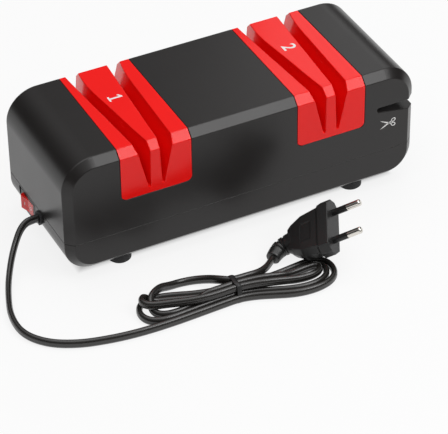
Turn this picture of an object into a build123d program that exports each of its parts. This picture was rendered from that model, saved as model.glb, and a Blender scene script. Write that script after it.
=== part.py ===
from build123d import *
from math import cos, degrees, hypot, pi, radians, sin, sqrt, tan
import os

# Electric knife sharpener. Millimetres, +Z up, X along the case, the front looks along -Y.
# The origin is on the table, under the middle of the case.

os.makedirs("parts", exist_ok=True)

# ------------------------------------------------------------------ driving dimensions
# case
case_length = 225.0
case_depth = 88.0
case_height = 76.0
foot_height = 6.0
case_wall = 2.5
top_radius = 20.0
bottom_radius = 17.0
edge_chamfer = 4.75
seam_rise = 21.4
edge_soft = 1.0
slot_soft = 0.5
rim_soft = 0.3
seam_soft = 0.35
lip_height = 2.0
lip_wall = 1.25
fit_gap = 0.15

case_bottom = foot_height
case_top = case_bottom + case_height
seam_z = case_bottom + seam_rise
floor_z = case_bottom + case_wall

# guides: two red inserts, each with two knife slots
guide_pitch = 112.0
guide_width = 44.4
guide_drop = 33.2
guide_skin = 2.2
guide_corner = 3.7
guide_gap = 0.15
ledge_width = 2.0
ledge_thickness = 2.0
slot_depth = 29.0
slot_floor_width = 1.3
trough_wall = 1.5
hook_width = 14.0
hook_wall = 1.2

guide_bottom = case_top - guide_drop
slot_floor_z = case_top - slot_depth

# shaft and grinding wheels
shaft_rise = 40.0
shaft_radius = 3.0
flat_depth = 0.4
running_gap = 0.03
wheel_radius = 19.0
wheel_thickness = 4.5
wheel_bevel = 2.5
wheel_hub_radius = 8.0
wheel_proud = 1.2
wheel_travel = 1.2
wheel_clearance = 0.5
collar_thickness = 1.6
collar_radius = 7.0
clip_thickness = 0.6
clip_radius = 4.8
spring_wire = 0.5
spring_radius = 5.2
spring_turns = 2.5

shaft_z = case_bottom + shaft_rise

# scissors slot and wheel
scissors_inner = 25.8
scissors_top_drop = 23.5
scissors_inner_height = 2.8
scissors_mouth_height = 7.2
scissors_wall = 2.0
scissors_wheel_radius = 10.0
scissors_wheel_width = 5.0
scissors_wheel_inset = 20.5
scissors_nut_width = 3.0

# bearing stands at the ends of the shaft
stand_distance = 72.0
stand_thickness = 6.0
stand_radius = 9.0
stand_foot_half = 17.0
stand_foot_height = 3.0
stand_boss_height = 7.5
stand_screw_y = 13.0
bush_radius = 5.0

# motor
can_radius = 21.0
can_half_length = 27.0
can_wall = 1.5
boss_radius = 6.5
bush_length = 4.0
magnet_inner = 16.4
magnet_angle = 110.0
core_radius = 15.5
core_half_length = 14.0
core_slots = 7
commutator_radius = 6.0
brush_side = 4.0
ring_offset = 21.0
ring_width = 6.0
ring_thickness = 2.0
cradle_thickness = 5.0
cradle_half_width = 31.0
clamp_thickness = 2.5
clamp_screw_y = 27.5
fan_radius = 16.0
fan_blades = 9

# switch in the left end
switch_y = 14.5
switch_z = 18.8
switch_recess = 1.7
bezel_length = 21.0
bezel_height = 13.4
bezel_thickness = 1.4
switch_body_length = 18.8
switch_body_height = 11.4
switch_body_depth = 13.0
rocker_radius = 8.4
rocker_width = 9.2
rocker_tilt = 10.0
rocker_gap = 0.25
rocker_soft = 0.4
pivot_depth = 4.2

# cord
cord_diameter = 5.5
cord_y = -4.0
cord_z = 22.8
grommet_radius = 4.3
grommet_flange = 1.2

# feet and screws
foot_radius = 7.0
foot_x = 76.0
foot_y = 32.0
case_screw_x = 88.0
case_screw_y = 34.5
post_radius = 4.5
case_screw_radius = 1.5
case_head_radius = 3.2
case_head_height = 2.4
case_screw_length = 20.0
case_head_z = 15.0
post_cover = 4.0
inner_screw_radius = 1.25
inner_head_radius = 2.5
inner_head_height = 1.6
inner_screw_length = 6.5

# circuit board, under the motor
board_length = 34.0
board_width = 40.0
board_thickness = 1.6
board_z = 14.0

# plug: flat two-pin
plug_width = 35.3
plug_thickness = 13.7
plug_length = 27.0
flange_length = 5.0
plug_rear_width = 18.0
plug_rear_thickness = 10.5
pin_spacing = 18.6
pin_length = 19.0
pin_radius = 2.0
sleeve_length = 10.0
plug_axis = (0.64, -0.53, 0.54)
plug_side = (0.43, 0.84, 0.33)
pin_depth = 8.0
pin_tip_round = 1.2
relief_rear_radius = 4.6
relief_tip_radius = 3.4
relief_sections = 5

left_end = -case_length / 2
right_end = case_length / 2
plug_face = (left_end + 143.5, -93.0, 25.3)
front_y = -case_depth / 2
back_y = case_depth / 2


# ------------------------------------------------------------------ helpers
def save(part, name):
    """Label a finished piece and write its STEP file."""
    part.label = name
    export_step(part, f"parts/{name}.step")


def cuboid(x, y, z, mode=Mode.ADD):
    """Box between pairs of coordinates, in the open part."""
    with Locations(((x[0] + x[1]) / 2, (y[0] + y[1]) / 2, (z[0] + z[1]) / 2)):
        Box(x[1] - x[0], y[1] - y[0], z[1] - z[0], mode=mode)


def post(radius, x, y, z, mode=Mode.ADD):
    """Upright cylinder between two heights, in the open part."""
    with Locations((x, y, (z[0] + z[1]) / 2)):
        Cylinder(radius, z[1] - z[0], mode=mode)


def axle(radius, x, y, z, mode=Mode.ADD):
    """Cylinder along X between two coordinates, in the open part."""
    with Locations(Location(((x[0] + x[1]) / 2, y, z), (0, 90, 0))):
        Cylinder(radius, x[1] - x[0], mode=mode)


def turned(points, mode=Mode.ADD):
    """Solid of revolution about the shaft from (x, radius) points, in the open part."""
    with BuildPart() as body:
        with BuildSketch(Plane.XZ):
            with BuildLine():
                Polyline([(x, shaft_z + r) for x, r in points], close=True)
            make_face()
        revolve(axis=Axis((0, 0, shaft_z), (1, 0, 0)))
    add(body.part, mode=mode)


def case_block(inset, soft=0.0):
    """The closed case as one solid, drawn in by inset on every side, with soft strip edges if asked."""
    with BuildPart() as block:
        with BuildSketch(Plane.XZ) as profile:
            with Locations((0, case_bottom + case_height / 2)):
                Rectangle(case_length - 2 * inset, case_height - 2 * inset)
            fillet(profile.vertices().group_by(Axis.Y)[-1], top_radius - inset)
            fillet(profile.vertices().group_by(Axis.Y)[0], bottom_radius - inset)
        extrude(amount=case_depth / 2 - inset, both=True)
        ends = block.faces().filter_by(Axis.Y)
        chamfer(ends.edges(), edge_chamfer - inset * (2 - sqrt(2)))
        if soft:
            strip_y = (case_depth / 2 - inset, case_depth / 2 - inset - edge_chamfer)
            rims = [e for e in block.edges() if min(abs(abs((e @ 0.5).Y) - y) for y in strip_y) < 0.01
                    and abs((e @ 0).Y - (e @ 1).Y) < 0.01]
            fillet(rims, soft)
    return block.part


def guide_prism(grow):
    """Prism through the case over a guide's outline, larger by grow on each side and below."""
    with BuildPart() as prism:
        with BuildSketch(Plane.XZ) as outline:
            with Locations((0, guide_bottom - grow)):
                Rectangle(guide_width + 2 * grow, case_height, align=(Align.CENTER, Align.MIN))
            fillet(outline.vertices().group_by(Axis.Y)[0], guide_corner + grow)
        extrude(amount=case_depth, both=True)
    return prism.part


case_outer = case_block(0, edge_soft)
case_shell = case_outer.shell()
case_inner = case_block(case_wall)
case_skin_limit = case_block(guide_skin)
ledge_limit = case_block(guide_skin + ledge_thickness)

guide_centres = {"coarse": -guide_pitch / 2, "fine": guide_pitch / 2}

# ------------------------------------------------------------------ knife slots
# Stations of a slot from front to back: y, left wall and right wall at the top, middle of the
# floor, all from the guide's middle. The first stretch is straight, then the right wall opens out.
reach = case_depth / 2 + 1
straight_steps = 4


def slot_stations(front, bend, flare, back):
    """Stations of a slot, with the straight stretch from front to bend divided evenly."""
    stations = []
    for step in range(straight_steps):
        share = step / straight_steps
        stations.append(tuple(a + share * (b - a) for a, b in zip(front, bend)))
    return stations + [bend, flare, back]


left_slot = slot_stations(
    (-reach, -12.0, -3.3, -4.15),
    (20.0, -17.0, -10.7, -10.9),
    (32.0, -17.9, -10.9, -11.8),
    (reach, -18.6, -9.0, -12.2),
)
right_slot = slot_stations(
    (-reach, 2.3, 11.4, 4.2),
    (20.0, 6.9, 14.0, 8.4),
    (32.0, 7.8, 15.2, 9.2),
    (reach, 8.6, 18.4, 10.0),
)


def slot_solid(stations, wall):
    """The V-shaped space of a knife slot, made larger by wall on its sides and floor."""
    half_floor = slot_floor_width / 2 + wall
    with BuildPart() as slot:
        for y, left, right, middle in stations:
            with BuildSketch(Plane.XZ.offset(-y)):
                with BuildLine():
                    Polyline(
                        (middle - half_floor, slot_floor_z - wall),
                        (middle + half_floor, slot_floor_z - wall),
                        (right + wall, case_top + 1),
                        (left - wall, case_top + 1),
                        close=True,
                    )
                make_face()
        loft()
    return slot.part


def wall_at_middle(stations, side):
    """Where a slot's wall stands at mid depth, halfway between its top and its floor."""
    (y0, *first), (y1, *second) = stations[0], stations[straight_steps]
    share = (0 - y0) / (y1 - y0)
    top = first[side] + share * (second[side] - first[side])
    floor = first[2] + share * (second[2] - first[2])
    floor += slot_floor_width / 2 * (1 if side == 1 else -1)
    return (top + floor) / 2


# outer faces of the two wheels of a stage, from the guide's middle
left_face = wall_at_middle(left_slot, 1) - wheel_proud
right_face = wall_at_middle(right_slot, 0) + wheel_proud
collar_middle = (left_face + right_face) / 2


def on_skin(edge):
    """Whether an edge runs over the outside of the case, across its length."""
    ends = edge @ 0, edge @ 0.5, edge @ 1
    along = abs(ends[0].Y - ends[2].Y) < 0.01 and abs(ends[0].Z - ends[2].Z) < 0.01
    near_z = min(ends, key=lambda point: point.Z).Z
    if along and near_z > guide_bottom + 1:
        return False
    return all(case_shell.distance_to(Vertex(*point)) < 0.01 for point in ends)


def wheel_profile(face, side, clear=0.0, travel=0.0):
    """Half section of a grinding wheel whose outer face is at face and looks to side."""
    inner = face - side * (wheel_thickness + clear + travel)
    outer = face + side * clear
    bore = 0.0 if clear else shaft_radius + running_gap
    bevel = wheel_bevel * side
    rim = wheel_radius + clear
    return [
        (inner, bore),
        (outer, bore),
        (outer, wheel_hub_radius + clear),
        (outer - bevel, rim),
        (inner, rim),
    ]


# ------------------------------------------------------------------ guides
slots = (slot_solid(left_slot, 0), slot_solid(right_slot, 0))
troughs = (slot_solid(left_slot, trough_wall), slot_solid(right_slot, trough_wall))
hook_y = back_y - guide_skin - ledge_thickness - fit_gap

with BuildPart() as guide_blank:
    add(guide_prism(-ledge_width - guide_gap))
    with BuildPart(mode=Mode.PRIVATE) as trough_pair:
        for trough in troughs:
            add(trough)
    add(trough_pair.part, mode=Mode.INTERSECT)
    add(case_outer, mode=Mode.INTERSECT)
    with BuildPart(mode=Mode.PRIVATE) as guide_saddle:
        add(case_outer)
        add(guide_prism(0), mode=Mode.INTERSECT)
        add(case_skin_limit, mode=Mode.SUBTRACT)
    add(guide_saddle.part)
    for side in (-1, 1):
        reach_in = sorted((side * (back_y - guide_skin), side * (hook_y - hook_wall)))
        leg = sorted((side * hook_y, side * (hook_y - hook_wall)))
        hook_top = guide_bottom + ledge_width + fit_gap + hook_wall
        cuboid((-hook_width / 2, hook_width / 2), reach_in, (hook_top - hook_wall, hook_top))
        cuboid((-hook_width / 2, hook_width / 2), leg, (guide_bottom - 1, hook_top))
    for slot in slots:
        add(slot, mode=Mode.SUBTRACT)
    turned(wheel_profile(left_face, -1, wheel_clearance, wheel_travel), mode=Mode.SUBTRACT)
    turned(wheel_profile(right_face, 1, wheel_clearance, wheel_travel), mode=Mode.SUBTRACT)
    slot_edges = [e for e in guide_blank.edges() if on_skin(e)
                  and abs((e @ 0.5).X) < guide_width / 2 - 0.01 and (e @ 0.5).Z > guide_bottom + guide_corner]
    fillet(slot_edges, slot_soft)
    rim_edges = [e for e in guide_blank.edges() if on_skin(e) and (
        abs((e @ 0.5).X) > guide_width / 2 - 0.01 or (e @ 0.5).Z < guide_bottom + guide_corner)]
    fillet(rim_edges, rim_soft)

for stage, centre in guide_centres.items():
    with BuildPart() as guide:
        with Locations((centre, 0, 0)):
            add(guide_blank.part)
    save(guide.part, f"{stage}_guide")

# ------------------------------------------------------------------ upper housing
scissors_top = case_top - scissors_top_drop
scissors_x = right_end - scissors_inner
scissors_wheel_x = right_end - scissors_wheel_inset
scissors_window_half = scissors_wheel_width / 2 + 0.7
post_spots = [(sx * case_screw_x, sy * case_screw_y) for sx in (-1, 1) for sy in (-1, 1)]
post_top = case_head_z + case_screw_length + post_cover


def scissors_space(wall):
    """The wedge-shaped scissors slot, made larger by wall above, below and inwards."""
    with BuildPart() as wedge:
        with BuildSketch(Plane.XZ) as section:
            with BuildLine():
                Polyline(
                    (scissors_x - wall, scissors_top + wall),
                    (right_end + 1, scissors_top + wall),
                    (right_end + 1, scissors_top - scissors_mouth_height - wall),
                    (scissors_x - wall, scissors_top - scissors_inner_height - wall),
                    close=True,
                )
            make_face()
            fillet(section.vertices().group_by(Axis.X)[0], scissors_inner_height * 0.4 + wall)
        extrude(amount=case_depth, both=True)
    return wedge.part


def on_guide_rim(edge):
    """Whether an edge of the housing borders one of the guide openings."""
    middle = edge @ 0.5
    across = min(abs(middle.X - centre) for centre in guide_centres.values())
    return (guide_width / 2 + guide_gap - guide_corner - 1 < across < guide_width / 2 + guide_gap + 0.01
            or abs(middle.Z - guide_bottom + guide_gap) < 0.01) and middle.Z > guide_bottom - 1


with BuildPart() as upper_housing:
    add(case_outer)
    add(case_inner, mode=Mode.SUBTRACT)
    # ledge round each guide opening
    for centre in guide_centres.values():
        with BuildPart(mode=Mode.PRIVATE) as ledge:
            add(guide_prism(ledge_width))
            add(case_skin_limit, mode=Mode.INTERSECT)
            add(ledge_limit, mode=Mode.SUBTRACT)
        with Locations((centre, 0, 0)):
            add(ledge.part)
    # trough of the scissors slot
    with BuildPart(mode=Mode.PRIVATE) as scissors_trough:
        add(scissors_space(scissors_wall))
        add(case_outer, mode=Mode.INTERSECT)
    add(scissors_trough.part)
    # screw posts, each tied to the front or back wall
    for x, y in post_spots:
        post(post_radius, x, y, (seam_z, post_top))
        web = sorted((y, (back_y - case_wall / 2) * (1 if y > 0 else -1)))
        cuboid((x - 1, x + 1), web, (seam_z + lip_height + 0.5, post_top))
    split(bisect_by=Plane.XY.offset(seam_z), keep=Keep.TOP)
    for x, y in post_spots:
        post(case_screw_radius + 0.05, x, y, (seam_z - 1, post_top - 2), mode=Mode.SUBTRACT)
    # seats and openings of the guides
    with BuildPart(mode=Mode.PRIVATE) as guide_seat:
        add(guide_prism(guide_gap))
        add(case_skin_limit, mode=Mode.SUBTRACT)
        add(guide_prism(-ledge_width))
    for centre in guide_centres.values():
        with Locations((centre, 0, 0)):
            add(guide_seat.part, mode=Mode.SUBTRACT)
    # scissors slot and the window of its wheel
    add(scissors_space(0), mode=Mode.SUBTRACT)
    axle(
        scissors_wheel_radius + 1,
        (scissors_wheel_x - scissors_window_half, scissors_wheel_x + scissors_window_half),
        0,
        shaft_z,
        mode=Mode.SUBTRACT,
    )
    mouth = [e for e in upper_housing.edges() if (e @ 0.5).X > scissors_x + 1 and on_skin(e)
             and scissors_top - scissors_mouth_height - 1 < (e @ 0.5).Z < scissors_top + 0.1]
    fillet(mouth, slot_soft)
    rims = [e for e in upper_housing.edges() if on_skin(e) and on_guide_rim(e)]
    fillet(rims, rim_soft)
    seam = [e for e in upper_housing.edges() if on_skin(e) and abs((e @ 0.5).Z - seam_z) < 0.01]
    fillet(seam, seam_soft)
save(upper_housing.part, "upper_housing")

# ------------------------------------------------------------------ base shell
pad_x = left_end + switch_recess
pad_length = bezel_length + 2
pad_height = bezel_height + 1.6
stand_boss_top = floor_z + stand_boss_height
board_spot_x = board_length / 2 - 4
board_spot_y = board_width / 2 - 4
board_spots = [(-board_spot_x, -board_spot_y), (board_spot_x, board_spot_y)]
ring_radius = can_radius + ring_thickness
foot_spots = {
    "foot_front_left": (-foot_x, -foot_y),
    "foot_front_right": (foot_x, -foot_y),
    "foot_back_left": (-foot_x, foot_y),
    "foot_back_right": (foot_x, foot_y),
}
stem_radius = 2.5
cord_clamp_x = left_end + 19.0
cord_clamp_screw = 6.0
cord_clamp_half = 8.4

with BuildPart() as base_shell:
    add(case_outer)
    add(case_inner, mode=Mode.SUBTRACT)
    # lip that keeps the two shells in line
    with BuildPart(mode=Mode.PRIVATE) as lip:
        add(case_block(case_wall + fit_gap))
        add(case_block(case_wall + fit_gap + lip_wall), mode=Mode.SUBTRACT)
        with BuildPart(mode=Mode.PRIVATE) as lip_band:
            cuboid((left_end, right_end), (front_y, back_y), (seam_z - 3, seam_z + lip_height))
        add(lip_band.part, mode=Mode.INTERSECT)
    with BuildPart(mode=Mode.PRIVATE) as lip_root:
        add(case_inner)
        add(case_block(case_wall + fit_gap + lip_wall), mode=Mode.SUBTRACT)
        with BuildPart(mode=Mode.PRIVATE) as root_band:
            cuboid((left_end, right_end), (front_y, back_y), (seam_z - 3, seam_z))
        add(root_band.part, mode=Mode.INTERSECT)
    split(bisect_by=Plane.XY.offset(seam_z), keep=Keep.BOTTOM)
    seam = [e for e in base_shell.edges() if on_skin(e) and abs((e @ 0.5).Z - seam_z) < 0.01]
    fillet(seam, seam_soft)
    add(lip_root.part)
    add(lip.part)
    # screw bosses
    for x, y in post_spots:
        post(post_radius, x, y, (floor_z - 0.5, seam_z))
    for sx in (-1, 1):
        for sy in (-1, 1):
            post(3.5, sx * stand_distance, sy * stand_screw_y, (floor_z - 0.5, stand_boss_top))
    for x, y in board_spots:
        post(3.0, x, y, (floor_z - 0.5, board_z))
    # cradles of the motor
    for sx in (-1, 1):
        x = sx * ring_offset
        span = (x - cradle_thickness / 2, x + cradle_thickness / 2)
        cuboid(span, (-cradle_half_width, cradle_half_width), (floor_z - 0.5, shaft_z))
        axle(ring_radius, (span[0] - 1, span[1] + 1), 0, shaft_z, mode=Mode.SUBTRACT)
    # place of the switch
    pad_y = (switch_y - pad_length / 2, switch_y + pad_length / 2)
    pad_z = (switch_z - pad_height / 2, switch_z + pad_height / 2)
    cuboid((left_end - 1, pad_x), pad_y, pad_z, mode=Mode.SUBTRACT)
    cuboid((pad_x, pad_x + case_wall + 0.5), pad_y, pad_z)
    # seat of the cord clamp
    for sy in (-1, 1):
        post(2.8, cord_clamp_x, cord_y + sy * cord_clamp_screw, (floor_z - 0.5, cord_z))
    clamp_rib_y = (cord_y - cord_clamp_screw, cord_y + cord_clamp_screw)
    cuboid((cord_clamp_x - 2, cord_clamp_x + 2), clamp_rib_y, (floor_z - 0.5, cord_z - 2.0))
    # openings
    cuboid(
        (left_end - 2, pad_x + 8),
        (switch_y - switch_body_length / 2 - 0.1, switch_y + switch_body_length / 2 + 0.1),
        (switch_z - switch_body_height / 2 - 0.1, switch_z + switch_body_height / 2 + 0.1),
        mode=Mode.SUBTRACT,
    )
    axle(3.6, (left_end - 1, left_end + 6), cord_y, cord_z, mode=Mode.SUBTRACT)
    axle(grommet_radius + 0.2, (left_end + case_wall, left_end + 6), cord_y, cord_z, mode=Mode.SUBTRACT)
    for x, y in post_spots:
        post(case_head_radius + 0.3, x, y, (case_bottom - 1, case_head_z), mode=Mode.SUBTRACT)
        post(case_screw_radius + 0.1, x, y, (case_head_z - 1, seam_z + 1), mode=Mode.SUBTRACT)
    for x, y in foot_spots.values():
        post(stem_radius + 0.05, x, y, (case_bottom - 1, floor_z + 1), mode=Mode.SUBTRACT)
    inner_holes = [(sx * stand_distance, sy * stand_screw_y, stand_boss_top) for sx in (-1, 1) for sy in (-1, 1)]
    inner_holes += [(x, y, board_z) for x, y in board_spots]
    inner_holes += [(sx * ring_offset, sy * clamp_screw_y, shaft_z) for sx in (-1, 1) for sy in (-1, 1)]
    inner_holes += [(cord_clamp_x, cord_y + sy * cord_clamp_screw, cord_z) for sy in (-1, 1)]
    for x, y, z in inner_holes:
        post(inner_screw_radius + 0.05, x, y, (z - 5.2, z + 1), mode=Mode.SUBTRACT)
    # air slots in the floor
    for x in guide_centres.values():
        with Locations((x, 0, floor_z - case_wall / 2)):
            with GridLocations(6.0, 0, 4, 1):
                Box(3.0, 26.0, case_wall + 2, mode=Mode.SUBTRACT)
save(base_shell.part, "base_shell")

# ------------------------------------------------------------------ feet
for name, (x, y) in foot_spots.items():
    with BuildPart() as foot:
        post(foot_radius, x, y, (0, foot_height))
        chamfer(foot.edges().group_by(Axis.Z)[0], 0.8)
        post(stem_radius, x, y, (foot_height - 0.5, floor_z + 0.5))
        post(stem_radius + 1.2, x, y, (floor_z, floor_z + 1.5))
    save(foot.part, name)

# ------------------------------------------------------------------ screws
with BuildPart() as case_screws:
    for x, y in post_spots:
        post(case_head_radius, x, y, (case_head_z - case_head_height, case_head_z))
        post(case_screw_radius, x, y, (case_head_z - 0.5, case_head_z + case_screw_length))
        with Locations((x, y, case_head_z - case_head_height)):
            Box(3.6, 0.8, 1.6, mode=Mode.SUBTRACT)
            Box(0.8, 3.6, 1.6, mode=Mode.SUBTRACT)
save(case_screws.part, "case_screws")

clamp_seat_z = shaft_z + clamp_thickness
screw_seats = [(sx * stand_distance, sy * stand_screw_y, stand_boss_top + stand_foot_height)
               for sx in (-1, 1) for sy in (-1, 1)]
screw_seats += [(x, y, board_z + board_thickness) for x, y in board_spots]
screw_seats += [(sx * ring_offset, sy * clamp_screw_y, clamp_seat_z) for sx in (-1, 1) for sy in (-1, 1)]
screw_seats += [(cord_clamp_x, cord_y + sy * cord_clamp_screw, cord_z + 2.0) for sy in (-1, 1)]
with BuildPart() as inner_screws:
    for x, y, z in screw_seats:
        post(inner_head_radius, x, y, (z, z + inner_head_height))
        post(inner_screw_radius, x, y, (z - inner_screw_length, z + 0.5))
        with Locations((x, y, z + inner_head_height)):
            Box(2.8, 0.6, 1.2, mode=Mode.SUBTRACT)
            Box(0.6, 2.8, 1.2, mode=Mode.SUBTRACT)
save(inner_screws.part, "inner_screws")

# ------------------------------------------------------------------ bearing stands and bushes
for side, sx in (("left", -1), ("right", 1)):
    x = (sx * stand_distance - stand_thickness / 2, sx * stand_distance + stand_thickness / 2)
    with BuildPart() as stand:
        cuboid(x, (-stand_foot_half, stand_foot_half), (stand_boss_top, stand_boss_top + stand_foot_height))
        cuboid(x, (-stand_radius, stand_radius), (stand_boss_top, shaft_z))
        axle(stand_radius, x, 0, shaft_z)
        axle(bush_radius + running_gap, (x[0] - 1, x[1] + 1), 0, shaft_z, mode=Mode.SUBTRACT)
        for sy in (-1, 1):
            post(inner_screw_radius + 0.1, sx * stand_distance, sy * stand_screw_y,
                 (stand_boss_top - 1, stand_boss_top + stand_foot_height + 1), mode=Mode.SUBTRACT)
    save(stand.part, f"{side}_stand")

can_end = can_half_length
left_bush_x = (-can_end - 2.5, -can_end - 2.5 + bush_length)
right_bush_x = (can_end + 2.0, can_end + 2.0 + bush_length)
stand_bush_x = [(sx * stand_distance - stand_thickness / 2, sx * stand_distance + stand_thickness / 2)
                for sx in (-1, 1)]
for name, places in (("motor_bushes", (left_bush_x, right_bush_x)), ("stand_bushes", stand_bush_x)):
    with BuildPart() as bushes:
        for x in places:
            axle(bush_radius, x, 0, shaft_z)
            axle(shaft_radius + running_gap, (x[0] - 1, x[1] + 1), 0, shaft_z, mode=Mode.SUBTRACT)
    save(bushes.part, name)

# ------------------------------------------------------------------ motor
bush_seat = bush_radius + running_gap
with BuildPart() as motor_can:
    turned([
        (left_bush_x[0], bush_seat),
        (left_bush_x[0], boss_radius),
        (-can_end, boss_radius),
        (-can_end, can_radius),
        (can_end, can_radius),
        (can_end, can_radius - can_wall),
        (-can_end + can_wall, can_radius - can_wall),
        (-can_end + can_wall, bush_seat),
    ])
save(motor_can.part, "motor_can")

spigot = can_radius - can_wall - 0.1
brush_x = (can_end - 5.5, can_end - 5.5 + brush_side)
with BuildPart() as end_cap:
    turned([
        (can_end - 2, spigot - 2),
        (can_end - 2, spigot),
        (can_end, spigot),
        (can_end, can_radius),
        (can_end + 3, can_radius),
        (can_end + 3, boss_radius + 0.5),
        (right_bush_x[1], boss_radius + 0.5),
        (right_bush_x[1], bush_seat),
        (can_end + 1, bush_seat),
        (can_end + 1, spigot - 2),
    ])
    for sy in (-1, 1):
        box_y = sorted((sy * 8.0, sy * (spigot - 1)))
        cuboid((brush_x[0] - 1, can_end + 1.5), box_y, (shaft_z - brush_side / 2 - 1, shaft_z + brush_side / 2 + 1))
        bore_y = sorted((sy * 7.0, sy * (spigot - 2.4)))
        cuboid((brush_x[0] - 0.1, brush_x[1] + 0.1), bore_y,
               (shaft_z - brush_side / 2 - 0.1, shaft_z + brush_side / 2 + 0.1), mode=Mode.SUBTRACT)
save(end_cap.part, "motor_end_cap")

brush_end = 13.0
with BuildPart() as brushes:
    for sy in (-1, 1):
        cuboid(brush_x, sorted((sy * (commutator_radius + running_gap), sy * brush_end)),
               (shaft_z - brush_side / 2, shaft_z + brush_side / 2))
save(brushes.part, "carbon_brushes")


def coil(start, direction, length, radius, wire, turns):
    """Helical spring from start along direction, between flat planes length apart."""
    pitch = (length - wire) / turns
    origin = Vector(*start) + Vector(*direction) * (wire / 2)
    path = Helix(pitch, length - wire, radius, center=origin, direction=direction)
    with BuildPart() as spring:
        with BuildSketch(Plane(path @ 0, z_dir=path % 0)):
            Circle(wire / 2)
        sweep(path=path, is_frenet=True)
    return spring.part


with BuildPart() as brush_springs:
    for sy in (-1, 1):
        add(coil(((brush_x[0] + brush_x[1]) / 2, sy * brush_end, shaft_z), (0, sy, 0),
                 spigot - 2.4 - brush_end, 1.5, 0.4, 4))
save(brush_springs.part, "brush_springs")

with BuildPart() as magnets:
    with BuildSketch(Plane.YZ.offset(-20)) as arcs:
        for turn in (0, 180):
            with BuildLine():
                half = magnet_angle / 2
                outer = can_radius - can_wall - 0.02
                low, high = turn - half, turn + half

                def spot(radius, angle):
                    return (radius * cos(radians(angle)), shaft_z + radius * sin(radians(angle)))

                ThreePointArc(spot(outer, low), spot(outer, turn), spot(outer, high))
                Line(spot(outer, high), spot(magnet_inner, high))
                ThreePointArc(spot(magnet_inner, high), spot(magnet_inner, turn), spot(magnet_inner, low))
                Line(spot(magnet_inner, low), spot(outer, low))
            make_face()
    extrude(amount=38)
save(magnets.part, "motor_magnets")

for side, sx in (("left", -1), ("right", 1)):
    x = (sx * ring_offset - ring_width / 2, sx * ring_offset + ring_width / 2)
    with BuildPart() as ring:
        axle(ring_radius - 0.02, x, 0, shaft_z)
        axle(can_radius + 0.02, (x[0] - 1, x[1] + 1), 0, shaft_z, mode=Mode.SUBTRACT)
    save(ring.part, f"{side}_motor_ring")
    x = (sx * ring_offset - cradle_thickness / 2, sx * ring_offset + cradle_thickness / 2)
    with BuildPart() as clamp:
        axle(ring_radius + clamp_thickness, x, 0, shaft_z)
        cuboid(x, (-cradle_half_width, cradle_half_width), (shaft_z, clamp_seat_z))
        cuboid((x[0] - 1, x[1] + 1), (-50, 50), (0, shaft_z), mode=Mode.SUBTRACT)
        axle(ring_radius, (x[0] - 1, x[1] + 1), 0, shaft_z, mode=Mode.SUBTRACT)
        for sy in (-1, 1):
            post(inner_screw_radius + 0.1, sx * ring_offset, sy * clamp_screw_y,
                 (shaft_z - 1, clamp_seat_z + 1), mode=Mode.SUBTRACT)
            post(inner_head_radius + 0.3, sx * ring_offset, sy * clamp_screw_y,
                 (clamp_seat_z, clamp_seat_z + 20), mode=Mode.SUBTRACT)
    save(clamp.part, f"{side}_motor_clamp")

# ------------------------------------------------------------------ rotor
shaft_start = -stand_distance - stand_thickness / 2 - 2
scissors_wheel_half = scissors_wheel_width / 2
scissors_wheel_span = (scissors_wheel_x - scissors_wheel_half, scissors_wheel_x + scissors_wheel_half)
shaft_stop = scissors_wheel_span[1] + scissors_nut_width + 1.5
wheel_faces = [(stage, side, centre + face, sx) for stage, centre in guide_centres.items()
               for side, face, sx in (("left", left_face, -1), ("right", right_face, 1))]
clip_gap = 0.1
clip_spans = [sorted((face + sx * clip_gap, face + sx * (clip_gap + clip_thickness)))
              for _, _, face, sx in wheel_faces]
groove_radius = shaft_radius - 0.5

with BuildPart() as shaft:
    axle(shaft_radius, (shaft_start, shaft_stop), 0, shaft_z)
    chamfer(shaft.edges().filter_by(GeomType.CIRCLE), 0.4)
    for _, _, face, sx in wheel_faces:
        seat = sorted((face + sx * clip_gap, face - sx * (wheel_thickness + wheel_travel + 0.5)))
        for flat in (-1, 1):
            height = sorted((shaft_z + flat * (shaft_radius - flat_depth), shaft_z + flat * (shaft_radius + 1)))
            cuboid(seat, (-shaft_radius, shaft_radius), height, mode=Mode.SUBTRACT)
    for span in clip_spans:
        with BuildPart(mode=Mode.PRIVATE) as groove:
            axle(shaft_radius + 1, span, 0, shaft_z)
            axle(groove_radius, span, 0, shaft_z, mode=Mode.SUBTRACT)
        add(groove.part, mode=Mode.SUBTRACT)
save(shaft.part, "shaft")

with BuildPart() as clips:
    for span in clip_spans:
        axle(clip_radius, span, 0, shaft_z)
        axle(groove_radius + 0.02, (span[0] - 1, span[1] + 1), 0, shaft_z, mode=Mode.SUBTRACT)
        cuboid(span, (-1.6, 1.6), (shaft_z - clip_radius - 1, shaft_z - groove_radius + 0.6), mode=Mode.SUBTRACT)
save(clips.part, "shaft_clips")

with BuildPart() as core:
    with BuildSketch(Plane.YZ.offset(-core_half_length)):
        with Locations((0, shaft_z)):
            Circle(core_radius)
            with PolarLocations(core_radius - 4.6, core_slots):
                Rectangle(7.4, 3.6, mode=Mode.SUBTRACT)
            with PolarLocations(core_radius, core_slots):
                Rectangle(4, 1.8, mode=Mode.SUBTRACT)
            Circle(shaft_radius + 0.02, mode=Mode.SUBTRACT)
    extrude(amount=2 * core_half_length)
save(core.part, "armature_core")

with BuildPart() as winding:
    for sx in (-1, 1):
        near = sx * core_half_length
        turned([
            (near, 4.4),
            (near + sx * 4.6, 4.4),
            (near + sx * 4.6, 9.0),
            (near + sx * 3.4, 11.4),
            (near, 12.4),
        ])
save(winding.part, "armature_winding")

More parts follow.
